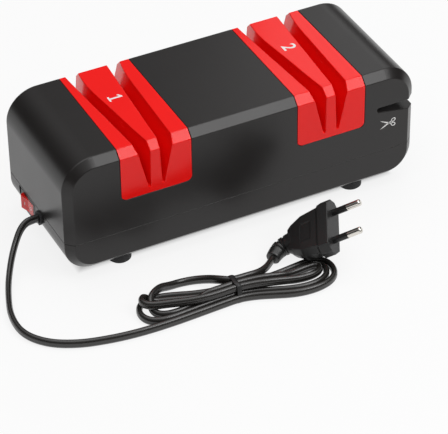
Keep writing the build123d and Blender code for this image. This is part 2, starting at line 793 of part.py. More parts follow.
with BuildPart() as commutator:
    with BuildSketch(Plane.YZ.offset(core_half_length + 4.8)):
        with Locations((0, shaft_z)):
            Circle(commutator_radius)
            with PolarLocations(commutator_radius, core_slots):
                Rectangle(1.2, 0.5, mode=Mode.SUBTRACT)
            Circle(shaft_radius + 0.02, mode=Mode.SUBTRACT)
    extrude(amount=can_end - core_half_length - 4.8)
save(commutator.part, "commutator")

fan_x = (left_bush_x[0] - 5.0, left_bush_x[0] - 1.0)
with BuildPart() as fan:
    axle(fan_radius, (fan_x[0], fan_x[0] + 1.0), 0, shaft_z)
    axle(boss_radius, fan_x, 0, shaft_z)
    with BuildSketch(Plane.YZ.offset(fan_x[0] + 0.5)):
        with Locations((0, shaft_z)):
            with PolarLocations(fan_radius * 0.66, fan_blades):
                Rectangle(fan_radius * 0.64, 1.1, rotation=18)
    extrude(amount=fan_x[1] - fan_x[0] - 0.5)
    axle(shaft_radius + 0.02, (fan_x[0] - 1, fan_x[1] + 1), 0, shaft_z, mode=Mode.SUBTRACT)
save(fan.part, "cooling_fan")

collar_spans = {stage: (centre + collar_middle - collar_thickness / 2, centre + collar_middle + collar_thickness / 2)
                for stage, centre in guide_centres.items()}
with BuildPart() as collars:
    for span in collar_spans.values():
        axle(collar_radius, span, 0, shaft_z)
        axle(shaft_radius + 0.02, (span[0] - 1, span[1] + 1), 0, shaft_z, mode=Mode.SUBTRACT)
save(collars.part, "spring_collars")

with BuildPart() as scissors_wheel:
    axle(scissors_wheel_radius, scissors_wheel_span, 0, shaft_z)
    chamfer(scissors_wheel.edges().filter_by(GeomType.CIRCLE), 1.2)
    axle(shaft_radius + 0.02, (scissors_wheel_span[0] - 1, scissors_wheel_span[1] + 1), 0, shaft_z, mode=Mode.SUBTRACT)
save(scissors_wheel.part, "scissors_wheel")

with BuildPart() as scissors_nut:
    with BuildSketch(Plane.YZ.offset(scissors_wheel_span[1])):
        with Locations((0, shaft_z)):
            RegularPolygon(5.2, 6)
            Circle(shaft_radius + 0.02, mode=Mode.SUBTRACT)
    extrude(amount=scissors_nut_width)
    turned([
        (scissors_wheel_span[0] - 1.5, shaft_radius + 0.02),
        (scissors_wheel_span[0] - 1.5, 5.5),
        (scissors_wheel_span[0], 5.5),
        (scissors_wheel_span[0], shaft_radius + 0.02),
    ])
save(scissors_nut.part, "scissors_wheel_nut_and_collar")

# ------------------------------------------------------------------ sliding wheels and springs
for stage, side, face, sx in wheel_faces:
    with BuildPart() as wheel:
        turned(wheel_profile(face, sx))
        inner = face - sx * wheel_thickness
        # two flats in the bore turn the wheel with the shaft
        for flat in (-1, 1):
            key_z = sorted((shaft_z + flat * (shaft_radius - flat_depth + running_gap),
                            shaft_z + flat * (shaft_radius + 1)))
            cuboid(sorted((face, inner)), (-2.6, 2.6), key_z)
    save(wheel.part, f"{stage}_{side}_wheel")
    seat = collar_spans[stage][0] if sx < 0 else collar_spans[stage][1]
    gap = abs(inner - seat)
    save(coil((seat, 0, shaft_z), (sx, 0, 0), gap, spring_radius, spring_wire, spring_turns),
         f"{stage}_{side}_spring")

# ------------------------------------------------------------------ circuit board
with BuildPart() as board:
    cuboid((-board_length / 2, board_length / 2), (-board_width / 2, board_width / 2),
           (board_z, board_z + board_thickness))
    for x, y in board_spots:
        post(inner_screw_radius + 0.1, x, y, (board_z - 1, board_z + board_thickness + 1), mode=Mode.SUBTRACT)
save(board.part, "circuit_board")

board_top = board_z + board_thickness
with BuildPart() as rectifier:
    cuboid((-4.2, 4.2), (-3.2, 3.2), (board_top + 0.4, board_top + 3.6))
    for sx in (-1, 1):
        for sy in (-1, 1):
            cuboid(sorted((sx * 4.2, sx * 4.8)), sorted((sy * 2.0, sy * 2.8)), (board_top, board_top + 2))
            cuboid(sorted((sx * 3.4, sx * 4.6)), sorted((sy * 2.0, sy * 2.8)), (board_top + 1.4, board_top + 2))
save(rectifier.part, "rectifier")

with BuildPart() as capacitor:
    cuboid((-13, -2), (7, 13), (board_top, board_top + 6.5))
    fillet(capacitor.edges().filter_by(Axis.Z), 0.8)
save(capacitor.part, "capacitor")

with BuildPart() as choke:
    with Locations(Location((8, -11, board_top + 3.2), (0, 90, 0))):
        Cylinder(3.2, 9)
        Cylinder(2.0, 12)
    cuboid((2, 14), (-12.2, -9.8), (board_top, board_top + 1.4))
save(choke.part, "choke")

# ------------------------------------------------------------------ switch
bezel_x = pad_x - bezel_thickness
pivot_x = bezel_x + pivot_depth
body_y = (switch_y - switch_body_length / 2, switch_y + switch_body_length / 2)
body_z = (switch_z - switch_body_height / 2, switch_z + switch_body_height / 2)
with BuildPart() as switch_body:
    cuboid((bezel_x, pad_x), (switch_y - bezel_length / 2, switch_y + bezel_length / 2),
           (switch_z - bezel_height / 2, switch_z + bezel_height / 2))
    fillet(switch_body.edges().filter_by(Axis.X), 1.2)
    chamfer(switch_body.faces().sort_by(Axis.X)[0].edges(), 0.5)
    cuboid((pad_x - 0.5, pad_x + switch_body_depth), body_y, body_z)
    rocker_half = rocker_width / 2 + 0.15
    with BuildSketch(Plane.XY.offset(switch_z - rocker_half)):
        with Locations((pivot_x, switch_y)):
            Circle(rocker_radius + rocker_gap)
    extrude(amount=2 * rocker_half, mode=Mode.SUBTRACT)
    post(1.25, pivot_x, switch_y, (switch_z - rocker_half - 0.5, switch_z + rocker_half + 0.5), mode=Mode.SUBTRACT)
save(switch_body.part, "switch_body")

rocker_high = pivot_depth + 1.2
rocker_low = pivot_depth + 0.25
with BuildPart() as rocker:
    with BuildSketch(Plane.XY.offset(switch_z - rocker_width / 2)) as rocker_section:
        with BuildLine():
            half_high = sqrt(rocker_radius ** 2 - rocker_high ** 2)
            half_back = sqrt(rocker_radius ** 2 - 2.5 ** 2)
            corners = [(2.5, half_back), (-rocker_high, half_high), (-rocker_low, 0),
                       (-rocker_high, -half_high), (2.5, -half_back)]
            turn = radians(rocker_tilt)
            placed = [(pivot_x + u * cos(turn) - v * sin(turn), switch_y + u * sin(turn) + v * cos(turn))
                      for u, v in corners]
            side_up = (pivot_x + rocker_radius * cos(radians(90) + turn),
                       switch_y + rocker_radius * sin(radians(90) + turn))
            side_down = (pivot_x + rocker_radius * cos(radians(-90) + turn),
                         switch_y + rocker_radius * sin(radians(-90) + turn))
            ThreePointArc(placed[0], side_up, placed[1])
            Line(placed[1], placed[2])
            Line(placed[2], placed[3])
            ThreePointArc(placed[3], side_down, placed[4])
            Line(placed[4], placed[0])
        make_face()
    extrude(amount=rocker_width)
    pressed_side = [e for e in rocker.edges().filter_by(GeomType.LINE)
                    if (e @ 0.5).X < pivot_x - rocker_low + 1.5]
    fillet(pressed_side, rocker_soft)
    post(1.2, pivot_x, switch_y, (switch_z - rocker_width / 2 - 0.5, switch_z + rocker_width / 2 + 0.5))
save(rocker.part, "rocker")

with BuildPart() as terminals:
    tab_x = (pad_x + switch_body_depth, pad_x + switch_body_depth + 7)
    for y in (switch_y - 5.5, switch_y + 5.5):
        cuboid(tab_x, (y - 2.4, y + 2.4), (switch_z - 0.4, switch_z + 0.4))
save(terminals.part, "switch_terminals")

# ------------------------------------------------------------------ cord exit and clamp
grommet_x = left_end - grommet_flange
with BuildPart() as grommet:
    axle(grommet_radius, (grommet_x, left_end), cord_y, cord_z)
    chamfer(grommet.faces().sort_by(Axis.X)[0].edges(), 0.5)
    axle(3.5, (left_end - 0.2, left_end + case_wall + 0.1), cord_y, cord_z)
    axle(grommet_radius, (left_end + case_wall + 0.1, left_end + case_wall + 1.4), cord_y, cord_z)
    axle(cord_diameter / 2 + 0.05, (grommet_x - 1, left_end + 8), cord_y, cord_z, mode=Mode.SUBTRACT)
save(grommet.part, "cord_grommet")

with BuildPart() as inner_lead:
    axle(cord_diameter / 2, (grommet_x + 0.3, cord_clamp_x + 8), cord_y, cord_z)
    axle(2.0, (cord_clamp_x - 3.0, cord_clamp_x + 3.0), cord_y, cord_z)
    cuboid((cord_clamp_x - 2.2, cord_clamp_x + 2.2), (cord_y - 4, cord_y + 4),
           (cord_z - 4, cord_z - 2.0), mode=Mode.SUBTRACT)
    cuboid((cord_clamp_x - 2.2, cord_clamp_x + 2.2), (cord_y - 4, cord_y + 4),
           (cord_z + 2.0, cord_z + 4), mode=Mode.SUBTRACT)
save(inner_lead.part, "inner_lead")

with BuildPart() as cord_clamp:
    clamp_span = (cord_clamp_x - 2, cord_clamp_x + 2)
    clamp_cut = (cord_clamp_x - 3, cord_clamp_x + 3)
    clamp_ends = (cord_y - cord_clamp_half, cord_y + cord_clamp_half)
    cuboid(clamp_span, clamp_ends, (cord_z, cord_z + 2.0))
    cuboid(clamp_span, (cord_y - 3.4, cord_y + 3.4), (cord_z + 1.5, cord_z + 3.6))
    cuboid(clamp_cut, (cord_y - 3, cord_y + 3), (cord_z - 1, cord_z + 2.0), mode=Mode.SUBTRACT)
    for y in (cord_y - cord_clamp_screw, cord_y + cord_clamp_screw):
        post(inner_screw_radius + 0.1, cord_clamp_x, y, (cord_z - 1, cord_z + 5), mode=Mode.SUBTRACT)
save(cord_clamp.part, "cord_clamp")

# ------------------------------------------------------------------ free cord
# Positions along the case are measured from its left end.
def from_left_end(points):
    """Points with their first coordinate taken from the case's left end."""
    return [(left_end + x, *others) for x, *others in points]


cord_rest_z = cord_diameter / 2
lead_route = from_left_end([
    (-grommet_flange, cord_y, cord_z),
    (-11.5, -4.4, 22.0),
    (-21.0, -12.0, 11.9),
    (-30.0, -25.5, 4.4),
    (-36.5, -40.5, cord_rest_z),
    (-41.7, -56.5, cord_rest_z),
    (-41.7, -73.5, cord_rest_z),
    (-32.5, -87.0, cord_rest_z),
    (-17.5, -95.5, cord_rest_z),
    (-0.5, -99.2, cord_rest_z),
    (14.5, -101.0, cord_rest_z),
    (28.5, -103.5, cord_rest_z),
])
tail_route = from_left_end([
    (85.5, -90.0, 6.5),
    (93.5, -89.6, 6.9),
    (102.5, -87.4, 6.2),
    (109.0, -84.6, 5.4),
])


def corner_radii(route):
    """Radius for each corner of a route: 0.45 of the shorter run over the tangent of half the turn."""
    radii = []
    for before, corner, after in zip(route, route[1:], route[2:]):
        arriving = Vector(*corner) - Vector(*before)
        leaving = Vector(*after) - Vector(*corner)
        half_turn = radians(arriving.get_angle(leaving)) / 2
        radii.append(0.45 * min(arriving.length, leaving.length) / tan(half_turn))
    return radii


def cord_tube(route):
    """Round tube along a route of straight runs joined by tangent arcs."""
    radii = corner_radii(route)
    print("cord radii", [round(radius, 1) for radius in radii])
    with BuildPart() as tube:
        with BuildLine() as path:
            FilletPolyline(*route, radius=radii)
        with BuildSketch(Plane(path.line @ 0, z_dir=path.line % 0)):
            Circle(cord_diameter / 2)
        sweep()
    swept = pi * (cord_diameter / 2) ** 2 * path.wire().length
    print("cord volume", round(tube.part.volume, 1), "section x length", round(swept, 1))
    return tube.part


save(cord_tube(lead_route), "cord_lead")
save(cord_tube(tail_route), "cord_tail")

hank_height = 11.2
hank_round = 2.0
hank_outline = from_left_end([
    (26.5, -104.6), (20.7, -99.0), (19.5, -91.0), (24.5, -84.0), (32.5, -79.0), (44.5, -76.0),
    (58.5, -78.5), (72.5, -85.0), (81.5, -89.0), (100.5, -91.5), (120.5, -94.0), (136.5, -96.5),
    (141.5, -101.5), (138.5, -107.5), (132.0, -112.0), (120.5, -115.0), (104.5, -113.5),
    (86.5, -107.5), (74.5, -106.0), (52.5, -107.0), (36.5, -106.3),
])
tie_x = left_end + 79.0
tie_y = -97.4
tie_span = 20.8
tie_band = 2.4
tie_thickness = 1.1
tie_round = 3.0
tie_height = hank_height + 0.4
with BuildPart() as tie:
    with BuildSketch(Plane.YZ.offset(tie_x - tie_band / 2)):
        with Locations((tie_y, tie_height / 2)):
            RectangleRounded(tie_span, tie_height, tie_round)
            RectangleRounded(
                tie_span - 2 * tie_thickness,
                tie_height - 2 * tie_thickness,
                tie_round - tie_thickness,
                mode=Mode.SUBTRACT,
            )
    extrude(amount=tie_band)
save(tie.part, "hank_tie")

with BuildPart() as hank:
    with BuildSketch():
        with BuildLine():
            Spline(*hank_outline, periodic=True)
        make_face()
    extrude(amount=hank_height)
    chamfer(hank.edges().group_by(Axis.Z)[-1], hank_round)
    add(tie.part, mode=Mode.SUBTRACT)
save(hank.part, "cord_hank")

# ------------------------------------------------------------------ plug
plug_plane = Plane(origin=plug_face, x_dir=plug_side, z_dir=plug_axis)


def plug_section(distance, width, thickness):
    """Section of the plug at a distance behind its face."""
    with BuildSketch(plug_plane.offset(-distance)) as section:
        Rectangle(width, thickness)
        chamfer(section.vertices(), thickness * 0.3)
    return section.sketch


with BuildPart() as plug_body:
    extrude(plug_section(0, plug_width, plug_thickness), amount=-flange_length)
    loft([
        plug_section(flange_length, plug_width - 2.4, plug_thickness - 1.2),
        plug_section(plug_length, plug_rear_width, plug_rear_thickness),
    ])
    with BuildSketch(plug_plane):
        with GridLocations(pin_spacing, 0, 2, 1):
            Circle(pin_radius + 0.02)
    extrude(amount=-pin_depth, mode=Mode.SUBTRACT)
save(plug_body.part, "plug_body")

with BuildPart() as sleeves:
    with BuildSketch(plug_plane):
        with GridLocations(pin_spacing, 0, 2, 1):
            Circle(pin_radius)
            Circle(pin_radius - 0.3, mode=Mode.SUBTRACT)
    extrude(amount=sleeve_length)
save(sleeves.part, "pin_sleeves")

with BuildPart() as pins:
    with BuildSketch(plug_plane.offset(-pin_depth)):
        with GridLocations(pin_spacing, 0, 2, 1):
            Circle(pin_radius - 0.32)
    extrude(amount=pin_depth + sleeve_length + 0.5)
    with BuildSketch(plug_plane.offset(sleeve_length)):
        with GridLocations(pin_spacing, 0, 2, 1):
            Circle(pin_radius)
    extrude(amount=pin_length - sleeve_length)
    fillet(pins.faces().sort_by(Axis(plug_face, plug_axis))[-2:].edges(), pin_tip_round)
save(pins.part, "plug_pins")

# strain relief: a bending taper from the plug's rear to the cord
rear = plug_plane.offset(-plug_length)
relief_start = Vector(rear.origin)
relief_end = Vector(*tail_route[-1])
relief_in = -Vector(*plug_axis).normalized()
relief_out = (Vector(*tail_route[-2]) - Vector(*tail_route[-1])).normalized()
with BuildPart() as relief:
    with BuildLine() as relief_path:
        Bezier(relief_start, relief_start + relief_in * 7, relief_end - relief_out * 8, relief_end)
    for step in range(relief_sections):
        share = step / (relief_sections - 1)
        with BuildSketch(Plane(relief_path.line @ share, z_dir=relief_path.line % share)):
            Circle(relief_rear_radius + (relief_tip_radius - relief_rear_radius) * share)
    loft()
save(relief.part, "plug_relief")

print("case", case_length, case_depth, case_top)
print("wheel faces", round(left_face, 2), round(right_face, 2))
print("pivot", round(pivot_x, 3), switch_y, "plug rear", relief_start)
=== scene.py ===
import logging
from bisect import bisect_left
from collections.abc import Sequence
from dataclasses import dataclass
from enum import Enum
from itertools import accumulate
from math import cos, pi, radians, sin, tau
from typing import Protocol

import bmesh
import bpy
from mathutils import Matrix, Vector


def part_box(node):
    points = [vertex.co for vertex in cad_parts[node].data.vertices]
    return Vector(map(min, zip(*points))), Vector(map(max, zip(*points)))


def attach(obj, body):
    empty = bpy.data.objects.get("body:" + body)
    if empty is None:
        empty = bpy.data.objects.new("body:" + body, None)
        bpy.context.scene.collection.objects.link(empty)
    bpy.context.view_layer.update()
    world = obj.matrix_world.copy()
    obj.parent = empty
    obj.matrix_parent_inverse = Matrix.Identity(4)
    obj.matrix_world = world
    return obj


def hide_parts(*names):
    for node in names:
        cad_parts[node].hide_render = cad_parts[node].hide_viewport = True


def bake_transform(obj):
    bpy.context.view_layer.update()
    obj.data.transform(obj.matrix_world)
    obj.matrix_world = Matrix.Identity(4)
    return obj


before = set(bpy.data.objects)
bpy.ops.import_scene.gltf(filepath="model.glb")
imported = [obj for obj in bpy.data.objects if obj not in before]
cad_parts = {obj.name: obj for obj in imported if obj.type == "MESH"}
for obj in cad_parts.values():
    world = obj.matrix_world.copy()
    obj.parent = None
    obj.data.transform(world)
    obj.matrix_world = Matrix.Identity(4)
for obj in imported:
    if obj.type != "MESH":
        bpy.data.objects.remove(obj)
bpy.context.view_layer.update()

MM = 0.001
log = logging.getLogger("sharpener")

Colour = tuple[float, float, float]
Point = tuple[float, float, float]
Route = tuple[tuple[float, ...], ...]
Material = bpy.types.Material
Mesh = bpy.types.Mesh
Piece = bpy.types.Object
Shape = bmesh.types.BMesh
Socket = bpy.types.NodeSocket
WHITE: Colour = (1.0, 1.0, 1.0)
CORD_EXIT: Point = (-113.7, -4.0, 22.8)


def metres(point: Point) -> Vector:
    """A point given in millimetres, in metres."""
    return Vector(point) * MM


def link(name: str, data: bpy.types.ID) -> Piece:
    """Put new data into the scene as an object at the origin.

    Args:
        name: The object's name.
        data: What it shows.

    Returns:
        The object.
    """
    item = bpy.data.objects.new(name, data)
    bpy.context.scene.collection.objects.link(item)
    return item


def mesh_of(name: str, shape: Shape) -> Mesh:
    """Turn a shape into a mesh.

    Args:
        name: The mesh's name.
        shape: The shape, which is used up.

    Returns:
        The mesh.
    """
    mesh = bpy.data.meshes.new(name)
    shape.to_mesh(mesh)
    shape.free()
    return mesh


def rounded(shape: Shape, parts: list, offset: float, segments: int, affect: str = "EDGES") -> None:
    """Round edges, or cut corners off.

    Args:
        shape: The shape.
        parts: The edges or corners.
        offset: How far the rounding reaches.
        segments: Its number of steps.
        affect: EDGES or VERTICES.
    """
    bmesh.ops.bevel(
        shape, geom=parts, offset=offset, segments=segments, profile=0.5, material=-1, affect=affect
    )


def raised(shape: Shape, name: str, height: float) -> Mesh:
    """A flat shape as a thin solid.

    Args:
        shape: The flat shape, which is used up.
        name: The mesh's name.
        height: The solid's thickness.

    Returns:
        The mesh.
    """
    made = bmesh.ops.extrude_face_region(shape, geom=shape.faces[:])["geom"]
    lifted = [part for part in made if isinstance(part, bmesh.types.BMVert)]
    bmesh.ops.translate(shape, verts=lifted, vec=(0.0, 0.0, height))
    bmesh.ops.recalc_face_normals(shape, faces=shape.faces)
    return mesh_of(name, shape)


# Shader nodes
class Number:
    """A node's output that carries one number, with the arithmetic of plain numbers."""

    def __init__(self, nodes: "Nodes", socket: Socket) -> None:
        """Keep the tree it belongs to and its socket."""
        self.nodes = nodes
        self.socket = socket

    def _math(self, operation: str, other: "Number | float", swapped: bool = False) -> "Number":
        """Add a Math node for this number and another, which comes first if they are swapped."""
        pair = (other, self) if swapped else (self, other)
        return self.nodes.number("ShaderNodeMath", {"operation": operation}, dict(enumerate(pair)))

    def __add__(self, other: "Number | float") -> "Number":
        """This number plus another."""
        return self._math("ADD", other)

    __radd__ = __add__

    def __sub__(self, other: "Number | float") -> "Number":
        """This number less another."""
        return self._math("SUBTRACT", other)

    def __rsub__(self, other: float) -> "Number":
        """A plain number less this one."""
        return self._math("SUBTRACT", other, swapped=True)

    def __mul__(self, other: "Number | float") -> "Number":
        """This number times another."""
        return self._math("MULTIPLY", other)

    __rmul__ = __mul__

    def __pow__(self, other: float) -> "Number":
        """This number raised to a power."""
        return self._math("POWER", other)

    def above(self, limit: float) -> "Number":
        """1 where this number is above a limit, and 0 elsewhere."""
        return self._math("GREATER_THAN", limit)

    def below(self, limit: float) -> "Number":
        """1 where this number is below a limit, and 0 elsewhere."""
        return self._math("LESS_THAN", limit)

    def sine(self) -> "Number":
        """The sine of this number."""
        return self._math("SINE", 0.0)

    def size(self) -> "Number":
        """This number without its sign."""
        return self._math("ABSOLUTE", 0.0)

    def larger(self, other: "Number | float") -> "Number":
        """The larger of this number and another."""
        return self._math("MAXIMUM", other)

    def spread(self, low: float, high: float) -> "Number":
        """Stretch this number so that low becomes 0 and high becomes 1, cut off at both."""
        return self.nodes.number("ShaderNodeMapRange", {"clamp": True}, {0: self, 1: low, 2: high})


class Nodes:
    """A node tree in the making."""

    def __init__(self, tree: bpy.types.NodeTree) -> None:
        """Start from an empty tree."""
        self.tree = tree
        self.tree.nodes.clear()

    def node(self, kind: str, settings: dict, inputs: dict) -> bpy.types.Node:
        """Add a node.

        Args:
            kind: The node's type.
            settings: Its own settings, set before its sockets.
            inputs: Values or links for its sockets, by name or number.

        Returns:
            The new node.
        """
        node = self.tree.nodes.new(kind)
        for name, value in settings.items():
            setattr(node, name, value)
        for name, value in inputs.items():
            self.feed(node.inputs[name], value)
        return node

    def number(self, kind: str, settings: dict, inputs: dict, output: int | str = 0) -> Number:
        """Add a node and take one of its outputs as a number."""
        return Number(self, self.node(kind, settings, inputs).outputs[output])

    def feed(self, socket: Socket, value: object) -> None:
        """Give a socket what it needs.

        Args:
            socket: The socket.
            value: A link, a number or a colour.
        """
        if isinstance(value, Number):
            value = value.socket
        if isinstance(value, Socket):
            self.tree.links.new(value, socket)
        elif socket.type == "RGBA":
            socket.default_value = (*value[:3], 1.0)
        else:
            socket.default_value = value

    def rays(self, *kinds: str) -> Number:
        """1 for rays of any of the given kinds, and 0 for all others.

        Args:
            *kinds: Names of the Light Path node's outputs.

        Returns:
            The mask.
        """
        outputs = self.node("ShaderNodeLightPath", {}, {}).outputs
        seen = Number(self, outputs[kinds[0]])
        for kind in kinds[1:]:
            seen = seen.larger(Number(self, outputs[kind]))
        return seen


class Paint(Nodes):
    """A material in the making: its shader, and the textures that its finish is mixed from."""

    def __init__(self, name: str) -> None:
        """Start a material with a Principled shader.

        Args:
            name: The material's name.
        """
        self.material = bpy.data.materials.new(name)
        self.material.use_nodes = True
        super().__init__(self.material.node_tree)
        self.shader = self.node("ShaderNodeBsdfPrincipled", {}, {})
        self.output = self.node("ShaderNodeOutputMaterial", {}, {"Surface": self.shader.outputs[0]})
        self.place = self.node("ShaderNodeTexCoord", {}, {}).outputs["Object"]

    def wear(self, **sockets: object) -> Material:
        """Feed the shader's sockets and return the material.

        Args:
            **sockets: Values or links, by the socket's name with underscores for spaces.

        Returns:
            The finished material.
        """
        for name, value in sockets.items():
            words = name.replace("_", " ").title().replace("Ior", "IOR")
            self.feed(self.shader.inputs[words], value)
        return self.material

    def axis(self, letter: str) -> Number:
        """One coordinate of the surface, in metres."""
        return self.number("ShaderNodeSeparateXYZ", {}, {0: self.place}, letter)

    def stretched(self, sizes: Point) -> Socket:
        """Coordinates in which one unit is a length of its own along each axis, in metres."""
        inputs = {"Vector": self.place, "Scale": tuple(1.0 / size for size in sizes)}
        return self.node("ShaderNodeMapping", {"vector_type": "POINT"}, inputs).outputs[0]

    def noise(self, sizes: Point | float, detail: float = 2.0, rough: float = 0.5) -> Number:
        """Soft noise with features of a given size.

        Args:
            sizes: Feature size in metres, or one for each axis.
            detail: Number of finer layers.
            rough: Strength of the finer layers.

        Returns:
            A number from 0 to 1.
        """
        lengths = (sizes, sizes, sizes) if isinstance(sizes, float) else sizes
        inputs = {"Vector": self.stretched(lengths), "Scale": 1.0, "Detail": detail, "Roughness": rough}
        return self.number("ShaderNodeTexNoise", {}, inputs)

    def grains(self, size: float) -> tuple[Number, Number]:
        """Grains of a given size.

        Args:
            size: Grain size in metres.

        Returns:
            The distance from each grain's middle, and a tone of its own for each grain.
        """
        inputs = {"Vector": self.stretched((size, size, size)), "Scale": 1.0}
        grain = self.node("ShaderNodeTexVoronoi", {"feature": "F1"}, inputs)
        tone = self.number("ShaderNodeRGBToBW", {}, {0: grain.outputs[1]})
        return Number(self, grain.outputs[0]), tone

    def mixed(self, first: object, second: object, share: Number | float) -> Socket:
        """Mix two colours; the share is how much of the second one shows."""
        inputs = {0: share, 6: first, 7: second}
        return self.node("ShaderNodeMix", {"data_type": "RGBA"}, inputs).outputs[2]

    def shaded(self, colour: Colour, change: float, share: Number) -> Socket:
        """A colour that goes from a little darker to a little lighter as the share goes from 0 to 1."""
        ends = [tuple(min(1.0, part * (1.0 + way * change)) for part in colour) for way in (-1.0, 1.0)]
        return self.mixed(*ends, share)

    def relief(self, height: Number, depth: float) -> Socket:
        """The bent normal of a height that goes from 0 to 1 over a depth in metres."""
        inputs = {"Strength": 1.0, "Distance": depth, "Height": height}
        return self.node("ShaderNodeBump", {}, inputs).outputs[0]


# Finishes
class Finish(Protocol):
    """What every finish has: the name of its slot, and its material."""

    name: str

    def material(self) -> Material:
        """The finish's material."""


@dataclass(frozen=True)
class Moulded:
    """Moulded plastic: one colour under a fine mould grain, with slightly uneven gloss."""

    name: str
    colour: Colour
    roughness: float
    grain: float = 0.0004
    depth: float = 0.000012
    cloud: float = 0.035
    cloud_detail: float = 3.0
    cloud_rough: float = 0.5
    grain_gloss: float = 0.05
    gloss_change: float = 0.07
    colour_change: float = 0.08
    ior: float = 1.45

    def material(self) -> Material:
        """Mould the plastic.

        Returns:
            The material.
        """
        paint = Paint(self.name)
        cloud = paint.noise(self.cloud, self.cloud_detail, self.cloud_rough)
        grain = paint.noise(self.grain)
        gloss = self.roughness + (cloud - 0.5) * self.gloss_change + (grain - 0.5) * self.grain_gloss
        return paint.wear(
            base_color=paint.shaded(self.colour, self.colour_change, cloud),
            roughness=gloss,
            normal=paint.relief(grain, self.depth),
            ior=self.ior,
        )


@dataclass(frozen=True)
class GuidePlastic:
    """Polished red plastic with lines from the blades in its slots, and a seam round its edge darkened
    by painted shade with a little dust.
    """

    name: str = "guide_red"
    colour: Colour = (0.92, 0.0065, 0.005)
    rubbed_colour: Colour = (0.75, 0.05, 0.045)
    seam_shade_and_dust_colour: Colour = (0.09, 0.0015, 0.0012)
    roughness: float = 0.15
    slot_low: float = 0.050
    slot_high: float = 0.0812
    slot_ends: float = 0.0432
    middle: float = 0.056
    half_width: float = 0.0222
    corner: float = 0.004
    bottom: float = 0.0478
    seam: float = 0.0003
    line_sizes: Point = (0.0006, 0.02, 0.0005)
    rubbed_gloss: float = 0.22
    specular: float = 0.28

    def edge(self, paint: Paint) -> Number:
        """Find the insert's outline, where it dips into the seam and gets its painted shade.

        Args:
            paint: The material in the making.

        Returns:
            1 along the outline, and 0 elsewhere.
        """
        inner = self.half_width - self.corner
        across = ((paint.axis("X").size() - self.middle).size() - inner).larger(0.0)
        down = (self.bottom + self.corner - paint.axis("Z")).larger(0.0)
        reach = (across * across + down * down) ** 0.5
        return reach.spread(self.corner - self.seam, self.corner - self.seam * 0.3)

    def material(self) -> Material:
        """Mould the plastic and wear lines into it between the slots' floor and rim.

        Returns:
            The material.
        """
        paint = Paint(self.name)
        cloud = paint.noise(0.025, 3.0)
        orange_peel = paint.noise(0.0022, 1.0)
        lines = paint.noise(self.line_sizes, 4.0, 0.6).spread(0.56, 0.72)
        patches = paint.noise(0.009, 2.0).spread(0.42, 0.66)
        height = paint.axis("Z")
        inside = height.above(self.slot_low) * height.below(self.slot_high)
        inside = inside * paint.axis("Y").size().below(self.slot_ends)
        rubbed = lines * patches * inside
        # Painted shade with a little dust: the seam round the outline is mixed towards a dark red by
        # position.
        edge = self.edge(paint)
        plain = paint.mixed(paint.shaded(self.colour, 0.04, cloud), self.rubbed_colour, rubbed * 0.4)
        return paint.wear(
            base_color=paint.mixed(plain, self.seam_shade_and_dust_colour, edge),
            roughness=self.roughness + (cloud - 0.5) * 0.06 + rubbed * self.rubbed_gloss + edge * 0.4,
            normal=paint.relief(orange_peel * 0.7 + rubbed * -0.3, 0.00003),
            specular_ior_level=self.specular,
        )


@dataclass(frozen=True)
class Rubber:
    """Matt black rubber with a chalky bloom and small pits."""

    name: str = "rubber_black"
    colour: Colour = (0.016, 0.016, 0.0165)
    bloom: Colour = (0.05, 0.05, 0.052)

    def material(self) -> Material:
        """Press the rubber.

        Returns:
            The material.
        """
        paint = Paint(self.name)
        cloud = paint.noise(0.006, 4.0, 0.6)
        pits = paint.noise(0.0005, 2.0)
        share = cloud.spread(0.45, 0.8) * 0.6
        return paint.wear(
            base_color=paint.mixed(self.colour, self.bloom, share),
            roughness=0.62 + cloud * 0.25,
            normal=paint.relief(pits, 0.00005),
        )


class Tooling(Enum):
    """How a metal part was worked, which sets the way its fine lines run."""

    TURNED = "rings round the shaft"
    DRAWN = "lines along the part"


@dataclass(frozen=True)
class WorkedMetal:
    """Bare or plated metal with the fine lines of its tooling and a few dull patches."""

    name: str
    colour: Colour
    roughness: float
    tooling: Tooling
    pitch: float = 0.00035
    line_length: float = 0.004
    line_gloss: float = 0.08
    patch: float = 0.007
    patch_detail: float = 4.0
    patch_rough: float = 0.6
    dull_from: float = 0.5
    dulled: float = 0.16
    colour_change: float = 0.12
    shaft_height: float = 0.046

    def lines(self, paint: Paint) -> Number:
        """Height of the tooling lines.

        Args:
            paint: The material in the making.

        Returns:
            A number from 0 to 1.
        """
        if self.tooling is Tooling.DRAWN:
            return paint.noise((self.line_length, self.pitch, self.pitch), 4.0, 0.65)
        rise = paint.axis("Z") - self.shaft_height
        across = paint.axis("Y")
        radius = (rise * rise + across * across) ** 0.5
        wobble = paint.noise(0.004, 2.0) * 2.0
        return (radius * (tau / self.pitch) + wobble).sine() * 0.5 + 0.5

    def material(self) -> Material:
        """Work the metal.

        Returns:
            The material.
        """
        paint = Paint(self.name)
        lines = self.lines(paint)
        patches = paint.noise(self.patch, self.patch_detail, self.patch_rough)
        dull = patches.spread(self.dull_from, 0.8)
        return paint.wear(
            base_color=paint.shaded(self.colour, self.colour_change, patches),
            metallic=1.0,
            roughness=self.roughness + lines * self.line_gloss + dull * self.dulled,
            normal=paint.relief(lines, 0.000004),
        )


@dataclass(frozen=True)
class ZincPlate:
    """Zinc-plated sheet: flakes of slightly different grey, dulled here and there."""

    name: str = "can_zinc"
    colour: Colour = (0.52, 0.53, 0.54)
    flake: float = 0.004

    def material(self) -> Material:
        """Plate the sheet.

        Returns:
            The material.
        """
        paint = Paint(self.name)
        edge, flake = paint.grains(self.flake)
        haze = paint.noise(0.012, 4.0, 0.6)
        return paint.wear(
            base_color=paint.shaded(self.colour, 0.2, flake),
            metallic=1.0,
            roughness=0.3 + flake * 0.12 + haze.spread(0.5, 0.8) * 0.2,
            normal=paint.relief(edge, 0.000006),
        )


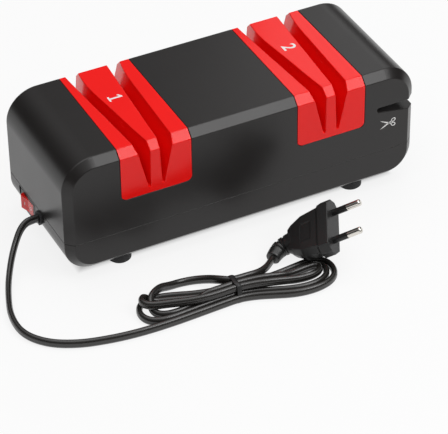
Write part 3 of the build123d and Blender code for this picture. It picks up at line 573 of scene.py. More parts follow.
@dataclass(frozen=True)
class Grained:
    """Material pressed or bonded from grains: sintered bronze, ferrite, carbon or abrasive."""

    name: str
    light: Colour
    dark: Colour
    grain: float
    depth: float
    roughness: float
    metallic: float = 0.0
    sparkle: float = 0.0

    def material(self) -> Material:
        """Bond the grains.

        Returns:
            The material.
        """
        paint = Paint(self.name)
        hollow, tone = paint.grains(self.grain)
        cloud = paint.noise(self.grain * 12, 3.0)
        bond = hollow.spread(0.3, 0.75)
        share = tone * 0.7 + cloud * 0.5 - bond * 0.5
        glint = tone.above(0.78) * self.sparkle
        return paint.wear(
            base_color=paint.mixed(self.dark, self.light, share.spread(0.0, 1.0)),
            metallic=self.metallic,
            roughness=self.roughness - glint + bond * 0.1,
            normal=paint.relief(1.0 - bond, self.depth),
        )


@dataclass(frozen=True)
class WoundCopper:
    """Enamelled copper wire, laid side by side, with painted shade in the gaps between the turns."""

    name: str = "copper_wire"
    colour: Colour = (0.62, 0.2, 0.07)
    gap_shade_colour: Colour = (0.16, 0.035, 0.012)
    wire: float = 0.00045

    def material(self) -> Material:
        """Lay the wire.

        Returns:
            The material.
        """
        paint = Paint(self.name)
        wander = paint.noise(0.004, 2.0) * 2.2
        across = (paint.axis("Y") + paint.axis("Z") * 0.6) * (tau / self.wire)
        turns = (across + wander).sine() * 0.5 + 0.5
        tint = paint.noise(0.003, 3.0)
        bright = paint.shaded(self.colour, 0.2, tint)
        return paint.wear(
            # Painted shade: the gaps between the turns are mixed towards a dark copper colour.
            base_color=paint.mixed(self.gap_shade_colour, bright, turns.spread(0.05, 0.5)),
            metallic=0.9,
            roughness=0.26 + tint * 0.12,
            coat_weight=0.4,
            normal=paint.relief(turns, 0.00012),
        )


@dataclass(frozen=True)
class Laminate:
    """Brown paper laminate with faint fibres."""

    name: str = "board_green"
    colour: Colour = (0.42, 0.27, 0.11)

    def material(self) -> Material:
        """Press the board.

        Returns:
            The material.
        """
        paint = Paint(self.name)
        fibres = paint.noise((0.006, 0.0006, 0.001), 3.0, 0.6)
        cloud = paint.noise(0.008, 3.0)
        return paint.wear(
            base_color=paint.shaded(self.colour, 0.25, fibres * 0.6 + cloud * 0.4),
            roughness=0.38 + fibres * 0.15,
            normal=paint.relief(fibres, 0.00002),
        )


@dataclass(frozen=True)
class Ink:
    """White pad-printed ink, a little thin in places."""

    name: str = "ink_white"
    colour: Colour = (0.82, 0.81, 0.8)

    def material(self) -> Material:
        """Lay the ink.

        Returns:
            The material.
        """
        paint = Paint(self.name)
        thin = paint.noise(0.0007, 3.0, 0.6)
        return paint.wear(
            base_color=paint.shaded(self.colour, 0.06, thin),
            roughness=0.42 + thin * 0.12,
            normal=paint.relief(thin, 0.00001),
        )


class Palette:
    """All finishes of the sharpener, by the name of their material slot."""

    finishes: tuple[Finish, ...] = (
        Moulded("housing_black", (0.0130, 0.0112, 0.0108), 0.3, grain=0.0005, depth=0.00002),
        GuidePlastic(),
        Moulded("rocker_red", (0.78, 0.012, 0.01), 0.22, depth=0.000006),
        Rubber(),
        Moulded("switch_black", (0.014, 0.014, 0.0145), 0.4, grain=0.0003, depth=0.00002),
        WorkedMetal("steel", (0.56, 0.56, 0.57), 0.24, Tooling.TURNED),
        ZincPlate(),
        Grained(
            "ceramic_magnet", (0.085, 0.085, 0.092), (0.03, 0.03, 0.033), 0.0005, 0.00003, 0.55
        ),
        Grained("bronze", (0.6, 0.38, 0.16), (0.3, 0.17, 0.07), 0.00035, 0.00003, 0.42, metallic=1.0),
        Grained("carbon", (0.035, 0.035, 0.036), (0.01, 0.01, 0.01), 0.0003, 0.00002, 0.45),
        WoundCopper(),
        Grained(
            "grit_coarse", (0.36, 0.34, 0.32), (0.08, 0.075, 0.07), 0.00055, 0.00022, 0.75, sparkle=0.4
        ),
        Grained("grit_fine", (0.66, 0.64, 0.61), (0.3, 0.28, 0.26), 0.0003, 0.0001, 0.72, sparkle=0.3),
        Laminate(),
        Moulded("component_dark", (0.02, 0.02, 0.022), 0.3),
        Moulded("component_yellow", (0.72, 0.48, 0.05), 0.28),
        Moulded(
            "cord_vinyl", (0.018, 0.0165, 0.015), 0.25, grain=0.0009, depth=0.00002, cloud=0.012,
            cloud_detail=4.0, cloud_rough=0.6, grain_gloss=0.0, gloss_change=0.16, colour_change=0.2,
            ior=1.6,
        ),
        Moulded("tie_black", (0.014, 0.014, 0.014), 0.42, grain=0.0006, depth=0.00003),
        Moulded(
            "plug_vinyl", (0.0125, 0.0125, 0.0125), 0.38, grain=0.0007, depth=0.00004,
            gloss_change=0.14, ior=1.6,
        ),
        Moulded("sleeve_black", (0.012, 0.012, 0.012), 0.3),
        WorkedMetal(
            "pin_nickel", (0.74, 0.71, 0.66), 0.14, Tooling.DRAWN, pitch=0.0003, line_gloss=0.12,
            patch=0.003, patch_detail=3.0, patch_rough=0.5, dull_from=0.55, dulled=0.12,
            colour_change=0.1,
        ),
        Ink(),
    )

    def __init__(self) -> None:
        """Make every material once."""
        self.materials = {finish.name: finish.material() for finish in self.finishes}

    def __getitem__(self, name: str) -> Material:
        """The material of a slot."""
        return self.materials[name]

    def dress(self, nodes: list[str]) -> None:
        """Give every CAD node the finish of its slot.

        Args:
            nodes: The CAD nodes' names.
        """
        for name in nodes:
            for slot in bpy.data.objects[name].material_slots:
                slot.material = self[slot.material.name.split(".")[0]]
        log.info("%d CAD nodes dressed", len(nodes))


# Making pieces
@dataclass
class Assembly:
    """Pieces that belong together, with what they need to be put in place and dressed."""

    palette: Palette

    def solid(self, name: str, shape: Shape, smooth: float = 40.0) -> Piece:
        """Make a piece of a finished shape.

        Args:
            name: The piece's name.
            shape: The shape, which is used up.
            smooth: Edges turning more than this many degrees stay sharp.

        Returns:
            The piece.
        """
        bmesh.ops.recalc_face_normals(shape, faces=shape.faces)
        mesh = mesh_of(name, shape)
        mesh.shade_smooth()
        mesh.set_sharp_from_angle(angle=radians(smooth))
        return link(name, mesh)

    def finish(self, piece: Piece, slot: str, body: str = "body", named: bool = True) -> None:
        """Give a piece its finish and the body it rides on.

        Args:
            piece: The piece.
            slot: Its finish.
            body: The body that carries it, or nothing for a piece that rides on no body.
            named: Not used; true if the finish is one of the record's material slots.
        """
        piece.data.materials.clear()
        piece.data.materials.append(self.palette[slot])
        if body:
            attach(piece, body)
        log.info("%s: %s on %s", piece.name, slot, body or "two bodies")


def smooth_line(name: str, points: Sequence[Point]) -> Piece:
    """A curve object with one smooth open spline.

    Args:
        name: The curve's name.
        points: Its control points, in millimetres.

    Returns:
        The curve object, in the scene.
    """
    curve = bpy.data.curves.new(name, "CURVE")
    curve.dimensions = "3D"
    curve.resolution_u = 8
    curve.twist_mode = "Z_UP"
    spline = curve.splines.new("NURBS")
    spline.points.add(len(points) - 1)
    for spot, point in zip(spline.points, points):
        spot.co = (*metres(point), 1.0)
    spline.order_u = 3
    spline.use_endpoint_u = True
    return link(name, curve)


def as_mesh(item: Piece, name: str) -> Mesh:
    """The mesh that an object makes, with its modifiers and bevel.

    Args:
        item: The object, in the scene.
        name: The mesh's name.

    Returns:
        The mesh.
    """
    bpy.context.view_layer.update()
    shown = item.evaluated_get(bpy.context.evaluated_depsgraph_get())
    mesh = bpy.data.meshes.new_from_object(shown)
    mesh.name = name
    return mesh


# Cord and plug
@dataclass
class HankTie(Assembly):
    """A thin flat band drawn round the hank's two layers of strands."""

    place: float = -33.5
    band: float = 2.6
    gauge: float = 0.32
    front: float = -103.25
    back: float = -89.2
    top: float = 11.55
    gap: float = 0.05
    lean: float = 3.2
    corner: float = 2.2
    bulge: float = 0.03
    lift: float = 0.3
    wave: float = 0.5
    wave_turn: float = 0.8

    def crosswise(self, shape: Shape) -> list[bmesh.types.BMEdge]:
        """The edges that run across the band."""
        return [e for e in shape.edges if abs(e.verts[0].co.x - e.verts[1].co.x) > MM]

    def loop(self) -> Shape:
        """Draw the band's loop and let it bulge and wave a little.

        Returns:
            The loop, which has no thickness yet.
        """
        shape = bmesh.new()
        bmesh.ops.create_cube(shape, size=1.0)
        middle = Vector((self.place, (self.front + self.back) / 2, self.top / 2 + self.gap))
        size = Vector((self.band * MM, (self.back - self.front) * MM, self.top * MM))
        bmesh.ops.scale(shape, verts=shape.verts, vec=size)
        bmesh.ops.translate(shape, verts=shape.verts, vec=middle * MM)
        leaning = [v for v in shape.verts if v.co.z > self.top / 2 * MM and v.co.y < middle.y * MM]
        bmesh.ops.translate(shape, verts=leaning, vec=(0.0, self.lean * MM, 0.0))
        open_ends = [face for face in shape.faces if abs(face.normal.x) > 0.9]
        bmesh.ops.delete(shape, geom=open_ends, context="FACES_ONLY")
        rounded(shape, self.crosswise(shape), self.corner * MM, 6)
        bmesh.ops.subdivide_edges(shape, edges=self.crosswise(shape), cuts=4)
        for vertex in shape.verts:
            across = (vertex.co.x / MM - self.place) / (self.band / 2)
            bulged = 1.0 - self.bulge * across * across
            vertex.co.z = vertex.co.z * bulged + self.lift * MM
            waved = sin(vertex.co.y / MM * self.wave_turn) * (vertex.co.z / MM / self.top)
            vertex.co.x += self.wave * MM * waved
        return shape

    def build(self) -> Piece:
        """Make the tie.

        Returns:
            The tie.
        """
        shape = self.loop()
        bmesh.ops.recalc_face_normals(shape, faces=shape.faces)
        bmesh.ops.solidify(shape, geom=shape.faces[:], thickness=-self.gauge * MM)
        tie = self.solid("hank_tie_band", shape, 50.0)
        self.finish(tie, "tie_black")
        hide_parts("hank_tie")
        return tie


@dataclass
class CordBush(Assembly):
    """Low round bush, dished round the cord, in the hole where the cord leaves the case."""

    radius: float = 4.1
    bore: float = 2.95
    rim: float = 1.25
    root: float = 2.0
    dish: float = 0.22
    slope: float = 0.1
    corner: float = 0.3
    seat: float = 3.2
    sides: int = 48

    def build(self) -> None:
        """Make the bush."""
        height = self.root + self.rim
        shape = bmesh.new()
        bmesh.ops.create_cone(
            shape, cap_ends=True, radius1=self.radius, radius2=self.radius, depth=height,
            segments=self.sides,
        )
        bmesh.ops.translate(shape, verts=shape.verts, vec=(0.0, 0.0, height / 2))
        top = max(shape.faces, key=lambda face: face.calc_center_median().z)
        bmesh.ops.inset_individual(shape, faces=[top], thickness=self.radius - self.bore)
        bmesh.ops.inset_individual(shape, faces=[top], thickness=self.slope, depth=-self.dish)
        upper = [edge for edge in shape.edges if all(v.co.z > self.rim for v in edge.verts)]
        rims = [edge for edge in upper if edge.calc_face_angle(0.0) > 1.0]
        rounded(shape, rims, self.corner, 3)
        outward = Matrix.Rotation(radians(-90), 4, "Y")
        wall = Vector(CORD_EXIT) + Vector((self.seat, 0.0, 0.0))
        place = Matrix.Translation(wall * MM) @ outward @ Matrix.Scale(MM, 4)
        bmesh.ops.transform(shape, matrix=place, verts=shape.verts)
        bush = self.solid("cord_bush", shape, 30.0)
        self.finish(bush, "rubber_black")
        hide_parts("cord_grommet")


@dataclass
class MainsCord(Assembly):
    """Flat twin mains cord: free lead, hank of three loops each way, and the tail."""

    width: float = 5.5
    thickness: float = 3.4
    waist: float = 0.97
    merge: float = 0.01
    route: Route = (
        # Free lead from the case to the tie
        (-110.2, -4.0, 22.8), (-114.6, -4.0, 22.8), (-124.0, -4.4, 22.0), (-133.5, -12.0, 11.9),
        (-142.5, -25.5, 4.4), (-149.0, -40.5), (-154.2, -56.5), (-154.2, -73.5), (-145.0, -87.0),
        (-130.0, -95.5), (-113.0, -99.8), (-98.0, -101.9), (-84.0, -102.6), (-70.0, -102.5),
        (-56.0, -101.9), (-44.0, -101.5, 2.85), (-33.5, -101.3, 3.05),
        # Outer loop to the right
        (-24.0, -103.2, 2.8), (-14.2, -107.2), (-4.6, -111.2), (5.0, -113.1), (13.5, -112.8),
        (20.6, -110.6), (25.0, -106.6), (26.8, -101.2), (26.2, -95.6), (22.8, -91.3), (17.0, -89.7),
        (8.0, -90.6), (-3.0, -91.8), (-13.0, -92.2), (-23.0, -91.7, 2.8), (-33.5, -91.1, 3.05),
        # Outer loop to the left
        (-45.0, -88.9, 2.8), (-55.0, -86.2), (-64.0, -82.6), (-72.0, -79.9), (-78.4, -78.8),
        (-83.8, -79.6), (-87.4, -82.8), (-89.1, -87.4), (-88.7, -92.4), (-85.8, -96.6),
        (-80.6, -98.8), (-73.0, -99.2), (-63.0, -98.6), (-52.0, -97.9), (-43.0, -97.7, 2.85),
        (-33.5, -97.9, 3.05),
        # Inner loop to the right
        (-24.0, -99.8, 2.8), (-13.5, -103.6), (-4.2, -107.4), (5.0, -109.4), (12.6, -109.1),
        (18.4, -106.8), (21.8, -103.0), (22.8, -98.4), (20.6, -94.6), (14.5, -93.3), (5.0, -94.2),
        (-5.0, -95.4), (-14.5, -95.8), (-24.0, -95.1, 2.85), (-33.5, -94.5, 3.05),
        # Inner loop to the left, rising at its fold
        (-45.0, -92.4, 2.8), (-55.0, -89.8), (-64.0, -86.6), (-71.5, -84.0), (-76.4, -82.5, 2.8),
        (-80.4, -81.3, 4.8), (-84.2, -81.2, 8.1), (-86.7, -84.2, 8.5), (-85.8, -88.2, 8.5),
        (-81.8, -90.8, 8.5), (-76.0, -92.4, 8.4), (-69.0, -94.4, 8.3), (-61.5, -96.5, 8.2),
        (-53.0, -98.0, 8.3), (-43.5, -98.4, 8.4), (-33.5, -98.2, 8.5),
        # Upper loop to the right
        (-24.0, -99.6, 8.4), (-15.0, -101.8, 8.25), (-6.0, -103.4, 7.2), (2.5, -104.4, 5.6),
        (11.0, -105.0, 5.6), (16.8, -103.2, 5.6), (18.6, -100.0, 5.6), (16.2, -97.4, 5.6),
        (9.0, -97.9, 5.6), (1.0, -98.6, 5.6), (-6.0, -98.8, 7.2), (-14.0, -97.4, 8.3),
        (-24.0, -95.6, 8.4), (-33.5, -94.8, 8.5),
        # Upper loop to the left, under and over the others
        (-42.5, -94.8, 8.4), (-50.5, -94.4, 8.0), (-57.5, -94.8, 4.4), (-64.0, -95.5),
        (-70.5, -95.9), (-76.2, -95.3), (-80.6, -92.6, 2.8), (-82.6, -88.4, 4.6),
        (-81.0, -84.2, 8.3), (-77.2, -80.7, 8.7), (-71.6, -77.2, 7.7), (-65.0, -74.8, 4.6),
        (-57.4, -73.2, 3.0), (-49.4, -74.8, 3.2), (-42.8, -80.2, 5.4), (-38.4, -87.0, 8.1),
        (-33.0, -91.4, 8.5),
        # Tail to the plug
        (-24.0, -91.5, 8.3), (-16.5, -91.2, 7.6), (-10.0, -88.0, 6.4), (-5.0, -83.6, 5.4),
        (-0.5, -79.6, 5.0), (2.5, -77.6, 5.2),
    )

    def points(self) -> list[Point]:
        """The route's control points; one that is given no height lies on the floor."""
        return [(*spot, self.width / 2)[:3] for spot in self.route]

    def section(self) -> Piece:
        """The cord's flat section, standing on edge, slightly waisted between its two cores.

        Returns:
            A closed curve object for sweeping.
        """
        curve = bpy.data.curves.new("cord_section", "CURVE")
        spline = curve.splines.new("BEZIER")
        half, straight = self.thickness / 2, (self.width - self.thickness) / 2
        corners = [(half * self.waist, 0.0), (half, straight), (0.0, self.width / 2), (-half, straight)]
        corners += [(-x, -y) for x, y in corners]
        spline.bezier_points.add(len(corners) - 1)
        for spot, (x, y) in zip(spline.bezier_points, corners):
            spot.co = (x * MM, y * MM, 0.0)
            spot.handle_left_type = spot.handle_right_type = "AUTO"
        spline.use_cyclic_u = True
        spline.resolution_u = 3
        return link("cord_section", curve)

    def cord(self) -> tuple[Piece, list[Vector]]:
        """Sweep the section along the smooth route.

        Returns:
            The cord and the points that it follows.
        """
        line = smooth_line("mains_cord_line", self.points())
        path = [vertex.co.copy() for vertex in as_mesh(line, "cord_line").vertices]
        section = self.section()
        line.data.bevel_mode = "OBJECT"
        line.data.bevel_object = section
        line.data.use_fill_caps = True
        mesh = as_mesh(line, "mains_cord")
        bpy.data.objects.remove(line)
        bpy.data.objects.remove(section)
        shape = bmesh.new()
        shape.from_mesh(mesh)
        bmesh.ops.remove_doubles(shape, verts=shape.verts, dist=self.merge * MM)
        return self.solid("mains_cord", shape, 50.0), path

    def build(self) -> None:
        """Make the cord with its tie, its bush and its plug."""
        cord, path = self.cord()
        self.finish(cord, "cord_vinyl")
        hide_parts("cord_lead", "cord_hank", "cord_tail")
        tie = HankTie(self.palette).build()
        CordBush(self.palette).build()
        plug = MainsPlug(self.palette).build()


@dataclass
class MainsPlug(Assembly):
    """Flat two-pin plug: waisted body with grip panels, and a ribbed strain relief."""

    face: Point = (31.0, -93.0, 25.3)
    axis: Point = (0.64, -0.53, 0.54)
    side: Point = (0.43, 0.84, 0.33)
    corner: float = 4.0
    stations: tuple[Point, ...] = (
        (0.0, 35.3, 12.6), (7.0, 35.3, 12.6), (8.0, 32.2, 11.8), (19.0, 29.0, 11.6), (26.0, 20.4, 10.8),
        (28.6, 15.6, 9.6),
    )
    edge_radius: float = 0.4
    edge_angle: float = 12.0
    panel_span: tuple[float, float] = (12.0, 20.0)
    panel_width: float = 12.0
    panel_depth: float = 0.7
    panel_margin: float = 1.2
    panel_slope: float = 0.35
    wide_area: float = 100.0
    relief_route: tuple[Point, ...] = (
        (13.56, -78.56, 10.59), (9.4, -75.7, 7.5), (4.3, -75.9, 5.9), (-1.4, -80.4, 5.1),
    )
    relief_radii: tuple[float, float] = (6.5, 4.2)
    relief_taper: float = 0.85
    relief_lip: tuple[float, float] = (0.4, 0.35)
    relief_sides: int = 28
    relief_steps: int = 12
    groove_places: tuple[float, ...] = (5.2, 8.6, 11.8)
    groove_shape: tuple[tuple[float, float], ...] = (
        (-0.75, 0.0), (-0.5, 0.7), (-0.35, 1.0), (0.35, 1.0), (0.5, 0.7), (0.75, 0.0),
    )
    groove_reach: float = 1.4
    groove_cut: float = 0.7

    def placing(self) -> Matrix:
        """Turn and place the plug from its own axes, in millimetres, to the object's.

        Returns:
            The transform.
        """
        out = Vector(self.axis).normalized()
        across = Vector(self.side)
        across = (across - out * across.dot(out)).normalized()
        flat = out.cross(across)
        turn = Matrix((across, flat, out)).transposed().to_4x4()
        return Matrix.Translation(metres(self.face)) @ turn @ Matrix.Scale(MM, 4)

    def body(self) -> Piece:
        """Shape the body from its face backwards, in its own axes.

        Returns:
            The plug's body.
        """
        shape = bmesh.new()
        bmesh.ops.create_grid(shape, x_segments=1, y_segments=1, size=0.5)
        bmesh.ops.scale(shape, verts=shape.verts, vec=(*self.stations[0][1:], 1.0))
        rounded(shape, shape.verts[:], self.corner, 1, "VERTICES")
        back = shape.faces[:][0]
        for before, after in zip(self.stations, self.stations[1:]):
            back = self.drawn_back(shape, back, before, after)
        open_edges = [edge for edge in shape.edges if edge.is_boundary]
        bmesh.ops.holes_fill(shape, edges=open_edges, sides=0)
        bmesh.ops.recalc_face_normals(shape, faces=shape.faces)
        self.grip_panels(shape)
        bmesh.ops.transform(shape, matrix=self.placing(), verts=shape.verts)
        piece = self.solid("plug_shell", shape, 70.0)
        rounding = piece.modifiers.new("soft_edges", "BEVEL")
        rounding.width = self.edge_radius * MM
        rounding.segments = 3
        rounding.limit_method = "ANGLE"
        rounding.angle_limit = radians(self.edge_angle)
        piece.modifiers.new("flat_sides", "WEIGHTED_NORMAL").keep_sharp = True
        return piece

    def drawn_back(
        self, shape: Shape, face: bmesh.types.BMFace, before: Point, after: Point
    ) -> bmesh.types.BMFace:
        """Draw the rear face back from one station to the next.

        Args:
            shape: The plug's shape.
            face: The rear face.
            before: Distance behind the plug's face, width and depth where the rear face is.
            after: The same for where it goes.

        Returns:
            The new rear face.
        """
        made = bmesh.ops.extrude_discrete_faces(shape, faces=[face])["faces"][0]
        sizes = (after[1] / before[1], after[2] / before[2], 1.0)
        bmesh.ops.scale(shape, verts=made.verts, vec=sizes)
        bmesh.ops.translate(shape, verts=made.verts, vec=(0.0, 0.0, before[0] - after[0]))
        return made

    def grip_panels(self, shape: Shape) -> None:
        """Sink a panel into each wide side, where fingers hold the plug.

        Args:
            shape: The plug's shape, in its own axes.
        """
        front, rear = self.panel_span
        for sign in (1.0, -1.0):
            facing = [face for face in shape.faces if face.normal.y * sign > 0.98]
            wide = [face for face in facing if face.calc_area() > self.wide_area]
            panel = min(wide, key=lambda face: abs(face.calc_center_median().z + (front + rear) / 2))
            bmesh.ops.inset_individual(shape, faces=[panel], thickness=self.panel_margin)
            face_z = panel.calc_center_median().z
            for vertex in panel.verts:
                vertex.co.x = self.panel_width / 2 * (1.0 if vertex.co.x > 0 else -1.0)
                vertex.co.z = -front if vertex.co.z > face_z else -rear
            slope, depth = self.panel_slope, -self.panel_depth
            bmesh.ops.inset_individual(shape, faces=[panel], thickness=slope, depth=depth)

    def relief(self) -> Piece:
        """Strain relief: a bending taper with ribs that let it flex.

        Returns:
            The relief.
        """
        line = smooth_line("relief_line", self.relief_route)
        path = [vertex.co.copy() for vertex in as_mesh(line, "relief_path").vertices]
        bpy.data.objects.remove(line)
        steps = ((after - before).length / MM for before, after in zip(path, path[1:]))
        lengths = [0.0, *accumulate(steps)]
        shape = bmesh.new()
        rings = []
        for distance, radius in self.relief_stations(lengths[-1]):
            here, ahead = self.spot(path, lengths, distance)
            turn = ahead.to_track_quat("Z", "Y").to_matrix().to_4x4()
            ring = bmesh.ops.create_circle(
                shape, cap_ends=False, radius=radius * MM, segments=self.relief_sides,
                matrix=Matrix.Translation(here) @ turn,
            )["verts"]
            rings.append(list({edge for vertex in ring for edge in vertex.link_edges}))
        for first, second in zip(rings, rings[1:]):
            bmesh.ops.bridge_loops(shape, edges=first + second)
        for ring in (rings[0], rings[-1]):
            bmesh.ops.contextual_create(shape, geom=ring)
        return self.solid("plug_flex_relief", shape, 60.0)

    def relief_stations(self, length: float) -> list[tuple[float, float]]:
        """Distances along the relief with the radius at each, stepped down in its grooves.

        Args:
            length: The relief's length in millimetres.

        Returns:
            Pairs of distance and radius, in millimetres.
        """
        big, small = self.relief_radii
        plain = [length * step / self.relief_steps for step in range(self.relief_steps)]
        marks = [
            (distance, 0.0) for distance in plain
            if all(abs(distance - place) > self.groove_reach for place in self.groove_places)
        ]
        for place in self.groove_places:
            marks += [(place + offset, cut) for offset, cut in self.groove_shape]
        stations = []
        for distance, cut in sorted(marks):
            plain_radius = big + (small - big) * (distance / length) ** self.relief_taper
            stations.append((distance, plain_radius - cut * self.groove_cut))
        reach, drop = self.relief_lip
        return stations + [(length - reach, small), (length, small - drop)]

    def spot(self, path: list[Vector], lengths: list[float], distance: float) -> tuple[Vector, Vector]:
        """Where a distance along the path lies, and which way the path goes there.

        Args:
            path: The path's points.
            lengths: Distance of each point from the start, in millimetres.
            distance: The distance looked for.

        Returns:
            The place and the direction.
        """
        after = min(max(1, bisect_left(lengths, distance)), len(path) - 1)
        share = (distance - lengths[after - 1]) / (lengths[after] - lengths[after - 1])
        low, high = max(0, after - 2), min(len(path) - 1, after + 1)
        return path[after - 1].lerp(path[after], min(1.0, share)), path[high] - path[low]

    def build(self) -> list[Piece]:
        """Make the plug's pieces.

        Returns:
            The new pieces and the CAD nodes that stay.
        """
        shell = self.body()
        self.finish(shell, "plug_vinyl")
        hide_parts("plug_body")
        relief = self.relief()
        self.finish(relief, "plug_vinyl")
        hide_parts("plug_relief")
        return [shell, relief, bpy.data.objects["plug_pins"], bpy.data.objects["pin_sleeves"]]


# Springs
@dataclass
class WheelSprings(Assembly):
    """Coil springs that press the grinding wheels outwards."""

    wheels: tuple[str, ...] = ("coarse_left", "coarse_right", "fine_left", "fine_right")
    shaft_height: float = 46.0
    coil_radius: float = 5.2
    wire: float = 0.48
    turns: float = 2.5
    clearance: float = 0.02
    sides: int = 12
    steps_in_turn: int = 32

    def coil(self, name: str, seat: float, end: float) -> Piece:
        """Wind a spring from its seat on the collar to its wheel.

        Args:
            name: The spring's name.
            seat: Where the collar is along the shaft, in millimetres.
            end: Where the wheel is along the shaft.

        Returns:
            The spring.
        """
        way = 1.0 if end > seat else -1.0
        inset = self.wire / 2 + self.clearance
        top = Vector((seat + way * inset, 0.0, self.shaft_height + self.coil_radius))
        steps = round(self.turns * self.steps_in_turn)
        advance = (end - seat - way * inset * 2) / steps
        shape = bmesh.new()
        place = Matrix.Translation(top) @ Matrix.Rotation(radians(90), 4, "X")
        bmesh.ops.create_circle(
            shape, cap_ends=False, radius=self.wire / 2, segments=self.sides, matrix=place
        )
        bmesh.ops.spin(
            shape, geom=shape.verts[:] + shape.edges[:], cent=(0.0, 0.0, self.shaft_height),
            axis=(1.0, 0.0, 0.0), dvec=(advance, 0.0, 0.0), angle=radians(360 * self.turns),
            steps=steps, use_merge=False,
        )
        bmesh.ops.holes_fill(shape, edges=[e for e in shape.edges if e.is_boundary], sides=0)
        bmesh.ops.scale(shape, verts=shape.verts, vec=(MM, MM, MM))
        return self.solid(name, shape, 50.0)

    def build(self) -> None:
        """Wind every spring between its collar on the rotor and its wheel."""
        for wheel in self.wheels:
            low, high = (corner[0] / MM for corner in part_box(f"{wheel}_spring"))
            seat, end = (high, low) if wheel.endswith("left") else (low, high)
            piece = self.coil(f"{wheel}_coil", seat, end)
            self.finish(piece, "steel", body="")
            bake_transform(piece)
            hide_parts(f"{wheel}_spring")


